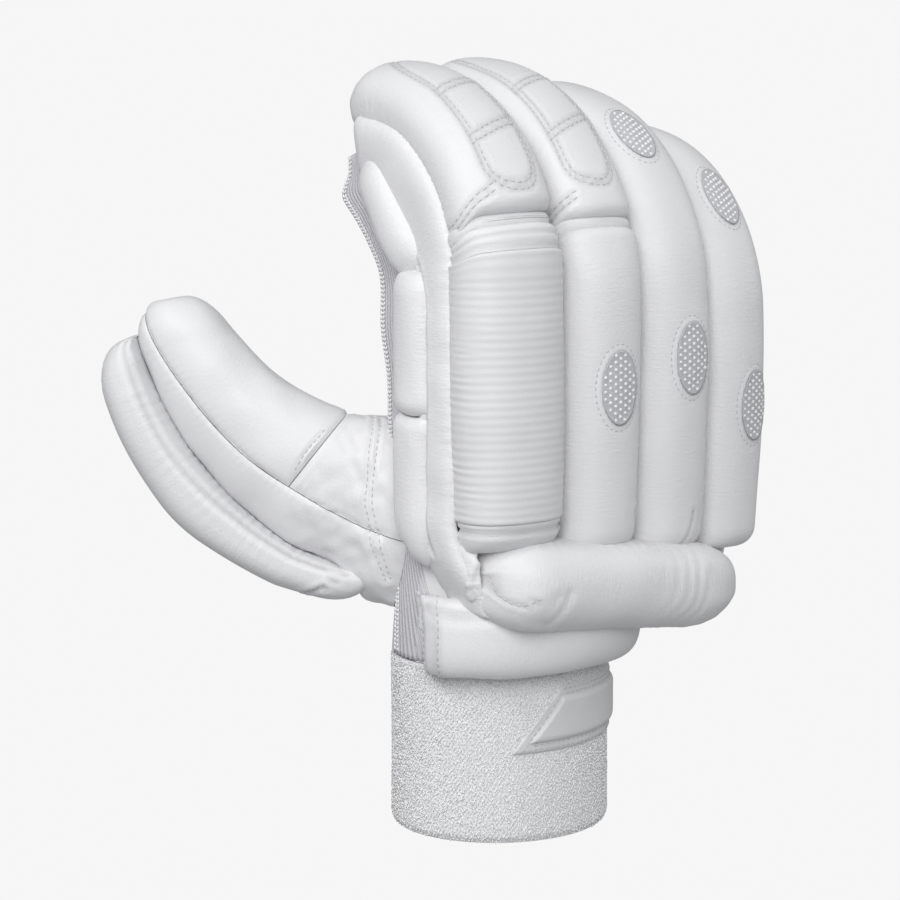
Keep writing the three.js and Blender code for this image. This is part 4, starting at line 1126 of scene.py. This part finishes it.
def thumb_skin(inset):
    """The thumb's sleeve, drawn in by an inset."""
    stop = sleeve_end - inset
    turn = np.linspace(0, math.pi / 2, 12)
    length = np.concatenate([np.linspace(0, stop - SLEEVE["rounding"], 150),
                             stop - SLEEVE["rounding"] * (1 - np.sin(turn[1:]))])
    deep = sleeve_at("deep", length) + sleeve_lift(length)
    end = SLEEVE["blunt"] + (1 - SLEEVE["blunt"]) * filled(stop - length, SLEEVE["rounding"])
    width = (sleeve_at("wide", length) - 2 * inset) * end
    across, out = oval(width, (deep - 2 * inset) * end, 0.0, np.full(len(length), SLEEVE["square"]), 140)
    out = out - SLEEVE["sink"] + sleeve_lift(length)[:, None] - deep[:, None] / 2
    around = np.arange(140) * 138.0 / 140
    skin = make_skin(length, around, lambda u, v: place_on(thumb_line, length, across, out))
    skin["out"] = -skin["out"]
    skin["depth"] = -out
    return skin


def puff_thumb(skin, puff):
    """Fills the sleeve's panels between their seams, most of all the inner roll, and creases its base."""
    length = skin["u"]
    past_seam = skin["depth"] - sleeve_at("gusset", length)
    roll_side = (length > SLEEVE["base"]) & (past_seam > 0)
    near = np.minimum(np.abs(past_seam), np.where(past_seam > 0, np.abs(length - SLEEVE["base"]), 99))
    share = np.clip(near / 8, 0, 1)
    rounded = np.sqrt(share * (2 - share))
    swell = np.where(roll_side, puff * rounded, 0.45 * puff * rounded)
    swell = swell - 0.7 * np.exp(-(near / 0.8) ** 2) + 0.3 * uneven(skin["points"], 16, 31)
    at_base = (length < SLEEVE["base"]) * np.clip((SLEEVE["base"] - length) / 12, 0, 1)
    swell = swell + at_base * (0.55 * uneven(skin["points"], 11, 33) + 0.25 * uneven(skin["points"], 5, 34))
    puckers = np.sin(2 * math.pi * length / 2.9 + 2 * uneven(skin["points"], 20, 35))
    gathered = np.exp(-((near - 2.6) / 2.2) ** 2) * puckers
    swell = swell + 0.16 * gathered * (length > 60)
    raise_skin(skin, swell * np.clip(length / 30, 0, 1))
    # The seam mark darkens the leather along these seams: painted shade in the grooves.
    skin["seam"] = np.maximum(skin["seam"], np.exp(-(near / 0.7) ** 2))


def inner_space(name, stop, depth_at):
    """All that lies deeper in the thumb than some depth, up to a length."""
    half, deepest = THUMB["width"], THUMB["radius"] * 0.9
    length = np.linspace(0, stop, 90)
    depth = np.broadcast_to(depth_at(length), length.shape)[:, None]
    across = np.tile([-half, half, half, -half], (len(length), 1))
    out = np.concatenate([-depth, -depth, np.full_like(depth, -deepest), np.full_like(depth, -deepest)], axis=1)
    return tube_object(name, place_on(thumb_line, length, across, out), leather)


def layer(name, low, high, left=-FAR, right=FAR):
    """A slab of the hand between two distances out of its back. Near the wrist its back face flares away."""
    rows = []
    for up, flare in ((0.0, 1), (HAND_LOW, 1), (HAND_LOW + MESH["flare_end"], 0), (FAR, 0)):
        top = high + (MESH["flare"] * flare if high < FAR else 0)
        rows.append(hand_point(np.array([left, right, right, left]), np.array([low, low, top, top]), up))
    return tube_object(name, np.array(rows), palm_leather)


def sharpen(made, degrees):
    made.data.shade_smooth()
    made.data.set_sharp_from_angle(angle=math.radians(degrees))
    return made


def largest_body(made):
    """Keeps only the largest body of a cut piece."""
    tidy = bmesh.new()
    tidy.from_mesh(made.data)
    tidy.verts.ensure_lookup_table()
    left, bodies = set(tidy.verts), []
    while left:
        body, edge = set(), [left.pop()]
        while edge:
            vert = edge.pop()
            body.add(vert)
            for link in vert.link_edges:
                other = link.other_vert(vert)
                if other in left:
                    left.discard(other)
                    edge.append(other)
        bodies.append(body)
    keep = max(bodies, key=len)
    bmesh.ops.delete(tidy, geom=[vert for vert in tidy.verts if vert not in keep], context="VERTS")
    tidy.to_mesh(made.data)
    tidy.free()
    return made


def finish_cut(made, name, degrees=38):
    return finish_piece(sharpen(largest_body(made), degrees), name)


seats = [seat_block("seat_" + name, finger, SEAM_GAP) for name, finger in fingers.items()]
deep_seats = [seat_block("deep_seat_" + name, finger, SEAM_GAP + LEATHER) for name, finger in fingers.items()]
holes = [stall_tube("hole_" + name, finger, LEATHER) for name, finger in fingers.items()]
thumb_hole = tube_object("thumb_hole", thumb_skin(LEATHER)["points"], leather)
hand_grown = hand_block("hand_grown", SEAM_GAP)
inside = cut(hand_block("hand_inside", -LEATHER, 1.0), deep_seats)
walls = cut(hand_block("hand_walls", 0.0, wrinkle=0.35), seats + [inside] + holes + [thumb_hole])
back_face = layer("back_face", MESH["high"] + SEAM_GAP, FAR)
palm_face = layer("palm_face", -FAR, MESH["high"])
knit_cloth = make_cloth("knit_cloth", (0.64, 0.63, 0.66), 0.85, 0.55, 0.3, 0.15, 0.2)
strips = []
for side in (-1, 1):
    limits = sorted((EDGES[side] - side * (MESH["deep"] + SEAM_GAP), side * FAR))
    strips.append(layer("strip_space", MESH["low"], MESH["high"], *limits))
finish_cut(cut(copy_of(walls, "hand_back_leather"), [back_face], "INTERSECT"), "hand_back")
made = cut(copy_of(walls, "palm_leather_skin"), [palm_face], "INTERSECT")
finish_cut(cut(made, strips), "palm")

# Knitted strips: fine upright ribs between the hand's back and its palm, with a braid along the edge. Their
# tops are folded in under the stalls.
KNIT = {"pitch": 1.3, "height": 0.13, "rows": 70, "columns": 110, "wide": 17}
BRAID = {"pitch": 1.5, "length": 1.9, "thick": 0.95, "colour": stud_rubber, "slot": "knit"}
BRAID_TURN = 32
threads["braid"] = []


def shell(name, outer, inner, material):
    """A closed sheet from its outer and its inner face. Gives it and its grid."""
    sheet = np.concatenate([outer, inner[:, ::-1]], axis=1)
    return turn_out(make_object(name, sheet, sheet_faces(len(sheet), outer.shape[1]), material)), sheet


for name, side in (("thumb_side_mesh", -1), ("outer_side_mesh", 1)):
    share, across = np.meshgrid(np.linspace(0.003, 0.999, KNIT["rows"]), np.linspace(0, 1, KNIT["columns"]),
                                indexing="ij")
    opened, square = column(HAND_ROWS, "open", share), column(HAND_ROWS, "square", share)
    flare = MESH["flare"] * np.clip(1 - share * HAND["height"] / MESH["flare_end"], 0, 1)
    back = MESH["low"] + SEAM_GAP + (MESH["high"] - MESH["low"] + flare - 2 * SEAM_GAP) * across
    faces_of_strip = []
    for grow_by in (0.15, -LEATHER):
        half = (CUFF["width"] + (HAND["width"] - CUFF["width"]) * opened) / 2 + grow_by
        deep = (CUFF["depth"] + (HAND["depth"] - CUFF["depth"]) * opened) / 2 + grow_by
        from_middle = np.clip(np.abs(back - HAND["back"] * opened) / deep, 0, 1)
        x = HAND["shift"] * opened + side * half * (1 - from_middle ** square) ** (1 / square)
        up = HAND_LOW + HAND["height"] * share - HAND["slope"] * x * share
        faces_of_strip.append(hand_point(x, back, up))
    folded = np.linspace(0, 1, 8)[1:, None, None] * np.array((-side, 0.0, side * HAND["slope"]))
    outer = np.concatenate([faces_of_strip[0], faces_of_strip[0][-1:] + MESH["deep"] * folded])
    inner = np.concatenate([faces_of_strip[1],
                            faces_of_strip[1][-1:] + (MESH["deep"] - LEATHER) * folded - LEATHER * UP])
    inner[KNIT["rows"] - 3:KNIT["rows"], :, 2] -= np.linspace(0, LEATHER, 3)[:, None]
    made, sheet = shell("strip_ground", outer, inner, knit_cloth)
    reach = np.linalg.norm(np.diff(outer, axis=1, prepend=outer[:, :1]), axis=-1).cumsum(axis=1)
    reach *= KNIT["wide"] / reach[:, -1:]
    measure(made, sheet, reach, np.clip(np.minimum(reach, KNIT["wide"] - reach) / 0.8, 0, 1))
    made = cut(rib(name + "_knit", made, KNIT, knit_cloth), [thumb_hole] + holes + [inside])
    finish_piece(largest_body(made), name)
    length = share[:, 0] * HAND["height"]
    strip_skin = make_skin(length, across[0] * 13, lambda u, v: faces_of_strip[0], closed=False)
    strip_skin["out"] *= -side
    for by, turn in ((0.9, BRAID_TURN), (0.9 + BRAID["pitch"] * 0.75, -BRAID_TURN)):
        run = np.stack([length[1:-1], np.full(len(length) - 2, by)], -1)
        threads["braid"].append((turn, (strip_skin, run)))
for name, way in (("strip_braid_left", BRAID_TURN), ("strip_braid_right", -BRAID_TURN)):
    sew(name, [run for turn, run in threads["braid"] if turn == way], lift=0.1, turn=way, **BRAID)

# Finger stalls: hollow leather tubes under the rolls, creased on the inside of their curl. They open into the
# hand.
for name, finger in fingers.items():
    made = stall_tube(name + "_stall_leather", finger, 0.0, 90, 0.5)
    inner = stall_tube("stall_inside", finger, LEATHER, 60)
    made = cut(made, [inner, hand_grown])
    drop(inner)
    finish_cut(made, name + "_stall")

# Thumb: a gusset down the outside of its sleeve, a base panel in the hand's fork and a padded roll on its inner
# face, with a thick curved guard over its back.
thumb = thumb_skin(0.0)
puff_thumb(thumb, 1.4)
threads["thumb"] = []
for hem in ([(72, 104), (66, 120), (61.5, 128), (58, 133), (54.5, 138), (50, 141), (46.5, 145), (41.5, 148),
             (37, 153)],
            [(67, 107), (62, 120), (58.5, 127), (55, 133), (51.5, 137.5), (47.5, 140), (43.5, 143), (39.5, 147),
             (35.5, 152)]):
    seam(thumb, hem, 0.4, 0.8, 0.3, threads["thumb"])
    seam(thumb, np.array(hem) - (0, 138), 0.4, 0.8, 0.3)
seam(thumb, [(88.6, 122), (88.8, 130), (87.6, 137)], 0.25, 0.7, 0.15, threads["thumb"])
sleeve = cut(tube_object("thumb_sleeve", thumb["points"], leather), [thumb_hole, hand_grown])
past_end = sleeve_end + SLEEVE["rounding"]
inside_seam = inner_space("inside_seam", past_end, lambda length: sleeve_at("gusset", length))
beside_seam = inner_space("beside_seam", past_end,
                          lambda length: sleeve_at("gusset", length) - SEAM_GAP)
near_hand = inner_space("near_hand", SLEEVE["base"], lambda length: -THUMB["width"])
near_hand_grown = inner_space("near_hand_grown", SLEEVE["base"] + SEAM_GAP, lambda length: -THUMB["width"])
inner_half = cut(copy_of(sleeve, "inner_half"), [inside_seam], "INTERSECT")
for name, source, tool, operation, fill in (
        ("thumb_gusset", sleeve, beside_seam, "DIFFERENCE", None),
        ("thumb_base", inner_half, near_hand, "INTERSECT", None),
        ("thumb_inner_roll", inner_half, near_hand_grown, "DIFFERENCE", 0.6)):
    finish_cut(cut(copy_of(source, name + "_leather"), [tool], operation), name)
GUARD_SHAPE = {"along": (0, 0.14, 0.26, 0.39, 0.51, 0.65, 0.83, 1),
               "wide": (0.8, 0.9, 0.96, 1, 1, 1, 0.98, 0.9),
               "high": (0.54, 0.57, 0.64, 0.76, 0.86, 0.82, 0.77, 0.72)}


def guard_line(length):
    point, along, across, out = thumb_line(length)
    clear = np.clip((np.asarray(length) - 45) / 25, 0, 1)[..., None]
    return point + out * 0.9 * SLEEVE["lift"] * clear, along, across, out


def seat_on_hand(name, skin, bulge=1.6):
    """A padded roll, cut away where the hand is."""
    made = cut(closed_object(name + "_leather", skin, leather, bulge), [hand_grown])
    finish_cut(made, name, 60)


guard_size = roll_size(guard_line, THUMB["root"] + GUARD["start"], thumb_end - GUARD["short"], GUARD["width"],
                       GUARD["loft"] - 0.9 * SLEEVE["lift"], GUARD["rounding"], GUARD["rounding"] + 3,
                       GUARD_SHAPE)
guard = roll_skin(guard_size)
gather(guard, 0.3, 3.6, 17, 120)
ripple(guard, 0.3, 30, 121)
band = [(162, 26), (151.8, 28.2), (139.6, 28.2), (125, 28.2), (110, 29.3), (94, 31), (74, 32), (58, 32)]
for side in (-1, 1):
    seam(guard, [(along, side * around) for along, around in band], 0.3, 1.3, 0.25)
near_seam = np.clip((np.abs(guard["v"]) - 28) / 4, 0, 1) * np.clip((48 - np.abs(guard["v"])) / 4, 0, 1)
fine = np.sin(2 * math.pi * guard["u"] / 2.1 + 2.5 * uneven(guard["points"], 15, 122))
fine = fine * (1 + uneven(guard["points"], 9, 123))
raise_skin(guard, 0.11 * near_seam * fine)
seam(guard, [(60.5, 13), (58, 17.5), (56, 21.6), (53.5, 26), (51, 31.5)], 0.9, 0.7, 0.5)
seat_on_hand("thumb_guard", guard)

# Wrist roll and cuff pad: the big roll across the wrist, folded where it bends, and the low pad between it and
# the cuff, with a flat flange at its thumb end.
WRIST_SHAPE = {"along": (0, 0.15, 0.45, 0.8, 1), "wide": (0.98, 1.02, 1, 0.98, 0.8),
               "high": (0.97, 1, 1, 1, 0.86)}
ROUND_END = {"wide": 0.45, "high": 0.3}
POINT_END = {"wide": 0.2, "high": 0.2}
CUFF_PAD = {"tall": 27.5, "loft": 11.5, "low": 62.0, "start": -72, "end": 69.5, "rounding": 9, "base": 1.2}
FLANGE_END = {"wide": 0.96, "high": 0.12}
tilt = math.radians(WRIST_ROLL["tilt"])
wrist_line = bowed_line(hand_point(WRIST_ROLL["x"], WRIST_ROLL["back"], WRIST_ROLL["up"] + 1.8),
                        np.array((math.cos(tilt), 0, -math.sin(tilt))), np.array((0.0, -1, 0)),
                        WRIST_ROLL["length"], WRIST_ROLL["bow"])
wrist_size = roll_size(wrist_line, 0, WRIST_ROLL["length"] + 7, WRIST_ROLL["tall"] + 5, WRIST_ROLL["loft"],
                       17, 31, WRIST_SHAPE, ends=(ROUND_END, POINT_END))
wrist = roll_skin(wrist_size)
gather(wrist, 0.3, 4.4, 13, 130)
ripple(wrist, 0.35, 30, 131)
threads["wrist"] = []
seam(wrist, [(0.4, -5), (1.3, 3.6), (4.6, 6.8), (7.8, 6), (11.5, 3)], 0.45, 0.8, 0.25, threads["wrist"])
for bend in ([(18, 2), (16, 7), (13.5, 13)], [(22.5, 1), (20.5, 7), (18, 13.5)]):
    raise_skin(wrist, -0.75 * np.exp(-(off_path(wrist, smooth_path(bend)) / 1.7) ** 2))
folded = np.clip((wrist["u"] - 58) / 18, 0, 1) * np.clip((16 - np.abs(wrist["v"] + 2)) / 8, 0, 1)
folds = np.sin(2 * math.pi * (wrist["u"] + 0.25 * wrist["v"]) / 5.6 + 2 * uneven(wrist["points"], 18, 133))
raise_skin(wrist, 0.2 * folded * folds)
seat_on_hand("wrist_roll", wrist)


def on_cuff(degrees, up, lift):
    """A point off the cuff by a lift, at degrees from the middle of its back towards the little finger."""
    angle = np.radians(degrees)
    x, back = (CUFF["width"] / 2 + lift) * np.sin(angle), (CUFF["depth"] / 2 + lift) * np.cos(angle)
    return hand_point(x, back, up)


pad_length = (CUFF["width"] + CUFF["depth"]) / 4 * math.radians(CUFF_PAD["end"] - CUFF_PAD["start"])


def pad_line(length):
    length = np.asarray(length, float)
    degrees = CUFF_PAD["start"] + (CUFF_PAD["end"] - CUFF_PAD["start"]) * length / pad_length
    angle = np.radians(degrees)
    point = on_cuff(degrees, np.full(degrees.shape, CUFF_PAD["low"] + CUFF_PAD["tall"] / 2), CUFF_PAD["base"])
    out = hand_point(CUFF["depth"] * np.sin(angle), CUFF["width"] * np.cos(angle), 0.0)
    out = out / np.linalg.norm(out, axis=-1, keepdims=True)
    across = np.broadcast_to(UP, out.shape)
    return point, np.cross(out, across), across, out


pad_size = roll_size(pad_line, 0, pad_length, CUFF_PAD["tall"], CUFF_PAD["loft"], 11, CUFF_PAD["rounding"],
                     ends=(FLANGE_END, END))
pad = roll_skin(pad_size, slant=lambda u, v: -4.5 * np.clip((v - 2) / 16, 0, 1) ** 1.5 * np.exp(-(u / 14) ** 2))
ripple(pad, 0.5, 22, 141)
seam(pad, [(1.6, 22), (1.8, 8), (2.0, -10), (2.4, -24)], 0.3, 0.7, 0.2, threads["wrist"])
seam(pad, [(8.4, 24), (7.6, 10), (7.2, -8), (7.6, -25)], 0.6, 0.9, 0.3, threads["wrist"])
for bend, depth in (([(3, 20), (10, 15.5), (20, 14)], 0.5), ([(5, 12), (12, 10), (19, 10.5)], 0.3)):
    seam(pad, bend, depth, 1.2, 0.4)
seat_on_hand("cuff_pad", pad, 0.4)
drop(*seats, *deep_seats, *holes, thumb_hole, hand_grown, inside, walls, back_face, palm_face, *strips,
     sleeve, inside_seam, beside_seam, near_hand, near_hand_grown, inner_half)

for skin, way in ((thumb, -1), (wrist, 1), (pad, 1)):
    skin["out"] = way * outward(skin["points"], True)
FINE_STITCH = {"pitch": 2.3, "length": 1.6, "thick": 0.5}
sew("thumb_stitches", threads["thumb"], **FINE_STITCH)
sew("wrist_stitches", threads["wrist"], pitch=2.4, length=1.8, thick=0.55)

# Ruched piping: a crumpled strip of leather in the corner between the side panel's foot and the wrist roll's
# end. Its knots are 7 mm apart.
knots = np.array([(-39.5, -30, 117), (-40.2, -31.8, 110), (-40.2, -33.4, 103), (-39.2, -34.2, 96),
                  (-37.4, -32.8, 90)])


def piping_line(length):
    at_knot = np.asarray(length, float) / 7.0
    point = np.stack([np.interp(at_knot, np.arange(len(knots)), knots[:, axis]) for axis in range(3)], axis=-1)
    along = knots[-1] - knots[0]
    along = np.broadcast_to(along / np.linalg.norm(along), point.shape)
    out = np.broadcast_to(np.array((-0.75, -0.66, 0.0)), point.shape)
    return point, along, np.cross(along, out), out


piping_size = roll_size(piping_line, 0, 28, 5.4, 2.2, 4, 4)
piping = roll_skin(piping_size, 0.5)
crumple = 0.4 * uneven(piping["points"], 4.5, 161) + 0.3 * np.sin(2 * math.pi * piping["u"] / 7.5
                                                                  + 3 * uneven(piping["points"], 9, 162))
raise_skin(piping, crumple)
finish_piece(closed_object("ruched_piping", piping, leather, 0.5))

# Knitted web: the loose knit between the side rolls and the palm, which goes on up to the curled fingertip.
# Places are (out of the palm, up) along its free edge and along the edge that is sewn under the rolls.
WEB = {
    "free": [(13.4, 96), (13.6, 124), (14.9, 153), (18, 178), (19.9, 196), (25.6, 206), (32.8, 214),
             (40.4, 221.5), (39.2, 226), (36.8, 230), (36.8, 236)],
    "sewn": [(-7, 96), (-7, 124), (-7, 153), (-6, 178), (-2, 196), (2, 206), (7, 214), (12, 222), (17, 228),
             (21, 233), (26, 239)],
    "x": (-38.6, -40.2), "thick": 1.3, "wide": 19,
}


def web_edge(places):
    """An edge of the web, at even steps."""
    run = smooth_path(places, 1.2)
    share, steps = np.linspace(0, 1, len(run)), np.linspace(0, 1, 150)
    return np.stack([np.interp(steps, share, run[:, axis]) for axis in (0, 1)], axis=-1)[:, None]


share = np.linspace(0, 1, 100)[None, :, None]
flat = web_edge(WEB["sewn"]) * (1 - share) + web_edge(WEB["free"]) * share
web_x = WEB["x"][1] + (WEB["x"][0] - WEB["x"][1]) * share[..., 0] + 0 * flat[..., 0]
outer = np.stack([web_x, flat[..., 0], flat[..., 1]], axis=-1)
outer[..., 0] -= 0.6 * uneven(outer, 18, 171)
web = make_skin(np.linspace(0, 150, 150), np.linspace(0, 20, 100), lambda u, v: outer, closed=False)
web["out"] = web["out"] * np.sign(-web["out"][..., :1].mean())
made, sheet = shell("web_ground", outer, outer - web["out"] * WEB["thick"], knit_cloth)
span = np.broadcast_to(share[..., 0] * WEB["wide"], flat.shape[:2])
measure(made, sheet, span, np.clip(np.minimum(span, WEB["wide"] - span) / 0.6, 0, 1))
finish_piece(rib("side_web_knit", made, KNIT, knit_cloth))
for name, turn, by in (("web_braid_edge", BRAID_TURN, 18.9), ("web_braid_inner", -BRAID_TURN, 17.8)):
    run = np.stack([np.linspace(1, 149, 149), np.full(149, by)], axis=-1)
    sew(name, [(web, run)], lift=0.2, turn=turn, **BRAID)

# Cuff: a stretchy towelling tube with a turned hem, its loops standing on the outside in close rows and each
# one turned and leaning its own way.
towel_ground = make_cloth("towel_ground", (0.88, 0.88, 0.89), 0.95, 1.0, 0.5, 0.15)
towel_loop = make_thread("towel_loop", (0.95, 0.95, 0.955))
rows = np.concatenate([np.linspace(0, 3, 6), np.linspace(3, CUFF["height"], 40)[1:]])
degrees = np.linspace(0, 360, 160, endpoint=False)


def hem_inset(up):
    return np.interp(up / CUFF["height"], (0, 0.04, 0.5, 1), (1, 0, 0.2, 0)) * CUFF["hem"]


def hemmed(up, degrees):
    """A height on the cuff, where its hem rides up a little towards the thumb."""
    lift = 1.55 * (1 + np.cos(np.radians(degrees + 110)))
    return up + lift * (1 - up / CUFF["height"])


outer = np.array([on_cuff(degrees, hemmed(up, degrees), -by / 2) for up, by in zip(rows, hem_inset(rows))])
inner = np.array([on_cuff(degrees, hemmed(up, degrees), -CUFF["wall"])
                  for up in np.linspace(CUFF["height"], 0, 12)])
sheet = np.concatenate([outer, inner, outer[:1]])
made = make_object("cuff_ground", sheet, grid_faces(len(sheet), 160, True), towel_ground)
finish_piece(sharpen(turn_out(made), 38), "wrist_cuff")
looping, looping_names, given, result = start_tree("looping", {
    "Loop": "Float", "Yarn": "Float", "Lean": "Float", "Seed": "Int", "Towel": "Material"})
facing = node(looping, "FunctionNodeAxesToRotation",
              {"Primary Axis": read_field(looping, "out"), "Secondary Axis": read_field(looping, "side")},
              primary_axis="Z", secondary_axis="Y")
arc = node(looping, "GeometryNodeCurveArc", {"Resolution": 4, "Radius": given["Loop"], "Start Angle": -0.35,
                                             "Sweep Angle": math.pi + 0.7})
yarn = node(looping, "GeometryNodeCurvePrimitiveCircle", {"Resolution": 3, "Radius": given["Yarn"]})
loop = node(looping, "GeometryNodeCurveToMesh", {"Curve": arc.outputs[0], "Profile Curve": yarn.outputs[0]})
loop = node(looping, "GeometryNodeTransform", {"Geometry": loop.outputs[0], "Rotation": (math.pi / 2, 0, 0)})
back_lean = reckon(looping, "MULTIPLY", given["Lean"], -1.0)
least, most = (node(looping, "ShaderNodeCombineXYZ", {"X": lean, "Y": lean, "Z": lean}).outputs[0]
               for lean in (back_lean, given["Lean"]))
lean_turn = node(looping, "FunctionNodeEulerToRotation", {"Euler": vary(looping, least, most, given["Seed"])})
facing = node(looping, "FunctionNodeRotateRotation",
              {"Rotation": facing.outputs[0], "Rotate By": lean_turn.outputs[0]}, rotation_space="LOCAL")
points = node(looping, "GeometryNodeMeshToPoints", {"Mesh": given["Geometry"]})
lay(looping, points.outputs[0], loop.outputs[0], facing.outputs[0], given["Towel"], result,
    vary(looping, (0.8, 0.8, 0.8), (1.15, 1.15, 1.25), given["Seed"]))
LOOPS = {"pitch": 1.36, "row": 1.1, "radius": 0.52, "yarn": 0.27, "first": 0.9, "slant": 0.9, "lean": 0.2}
random = np.random.default_rng(7)
levels = np.arange(LOOPS["first"], CUFF["height"] - 0.5, LOOPS["row"])
count = round(math.pi * (CUFF["width"] + CUFF["depth"]) / 2 / LOOPS["pitch"])
row, turn = np.meshgrid(np.arange(len(levels)), np.arange(count) * 360 / count, indexing="ij")
slanted = math.pi / 2 + LOOPS["slant"] * random.uniform(-1, 1, row.size)[:, None]
turn = turn + np.where(row % 2, 180 / count, 0) + random.normal(0, 0.3, row.shape)
level = levels[row] + random.normal(0, 0.22, row.shape)
ground = on_cuff(turn.ravel(), hemmed(level, turn).ravel(), -hem_inset(level).ravel() / 2 - 0.12)
way = on_cuff(turn.ravel(), level.ravel(), 5) - on_cuff(turn.ravel(), level.ravel(), 0)
way = way + UP * np.interp(level.ravel(), (0, 2.5), (-2.5, 0))[:, None]
way /= np.linalg.norm(way, axis=1, keepdims=True)
beside_way = UP * np.cos(slanted) + np.cross(UP, way) * np.sin(slanted)
source = guide("cuff_loops", ground, {"out": way, "side": beside_way})
values = {"Loop": LOOPS["radius"] * MM, "Yarn": LOOPS["yarn"] * MM, "Lean": LOOPS["lean"], "Seed": 3,
          "Towel": towel_loop}
finish_piece(grow("cuff_loops", source, looping, looping_names, values))

# Closure tab: the slanted leather end of the strap, stitched round its border, with a padded middle. Its
# leather is greyer than the glove's.
TAB = {"start": -29, "end": 104, "slant": 29, "low": 33, "tall": 23, "border": 0.16}


def tab_object(name, border, lift, thick, edge, material, seed):
    """A layer of the tab on the cuff, drawn in by a border that is a share of the tab's height."""
    share, rise = np.meshgrid(np.linspace(0, 1, 150), np.linspace(0, 1, 34), indexing="ij")
    slant, inner = TAB["slant"] * (border + rise * (1 - 2 * border)), TAB["slant"] * border
    start, stop = TAB["start"] + slant + inner, TAB["end"] - slant - inner
    wide = TAB["tall"] * (1 - 2 * border)
    up = TAB["low"] + TAB["tall"] * border + wide * rise
    degrees = start + (stop - start) * share
    off = np.minimum(np.minimum(rise, 1 - rise) * wide,
                     np.minimum(share, 1 - share) * 1.3 * (degrees[-1, 0] - degrees[0, 0]) * 0.6)
    high = thick * filled(off, edge)
    ground = on_cuff(degrees, up, lift)
    way = on_cuff(degrees, up, lift + 1) - ground
    top = ground + way * (high + 0.15 * uneven(ground, 14, seed) * np.clip(off / 2, 0, 1))[..., None]
    return sharpen(shell(name, top, ground, material)[0], 70)


tab_leather = make_leather("tab_leather", (0.69, 0.69, 0.695), crease=0.3)
finish_piece(tab_object("closure_tab_leather", 0, -0.2, 1.0, 0.6, tab_leather, 151), "closure_tab")
finish_piece(tab_object("closure_pad_leather", TAB["border"], 0.6, 1.7, 2.4, tab_leather, 152), "closure_pad")

rate = math.radians((CUFF["width"] + CUFF["depth"]) / 4)
strap = make_skin(np.linspace(TAB["low"], TAB["low"] + TAB["tall"], 24), np.linspace(-50, 150, 401),
                  lambda u, v: on_cuff(v / rate, u, 0.85), closed=False)
strap["out"] = on_cuff(strap["v"] / rate, strap["u"], 1.85) - strap["points"]
runs = []
for rim in (TAB["border"] * 0.42, TAB["border"] * 0.86):
    corners = []
    for rise, end in ((rim, 0), (1 - rim, 0), (1 - rim, 1), (rim, 1), (rim, 0)):
        slant = TAB["slant"] * (rim + rise * (1 - rim)) + 1.5 * rim * TAB["slant"]
        degrees = (TAB["start"] + slant) if end == 0 else (TAB["end"] - slant)
        corners.append((TAB["low"] + TAB["tall"] * rise, degrees * rate))
    for first, second in zip(corners, corners[1:]):
        runs.append((strap, first + (np.array(second) - first) * np.linspace(0, 1, 60)[:, None]))
sew("tab_stitches", runs, **FINE_STITCH)
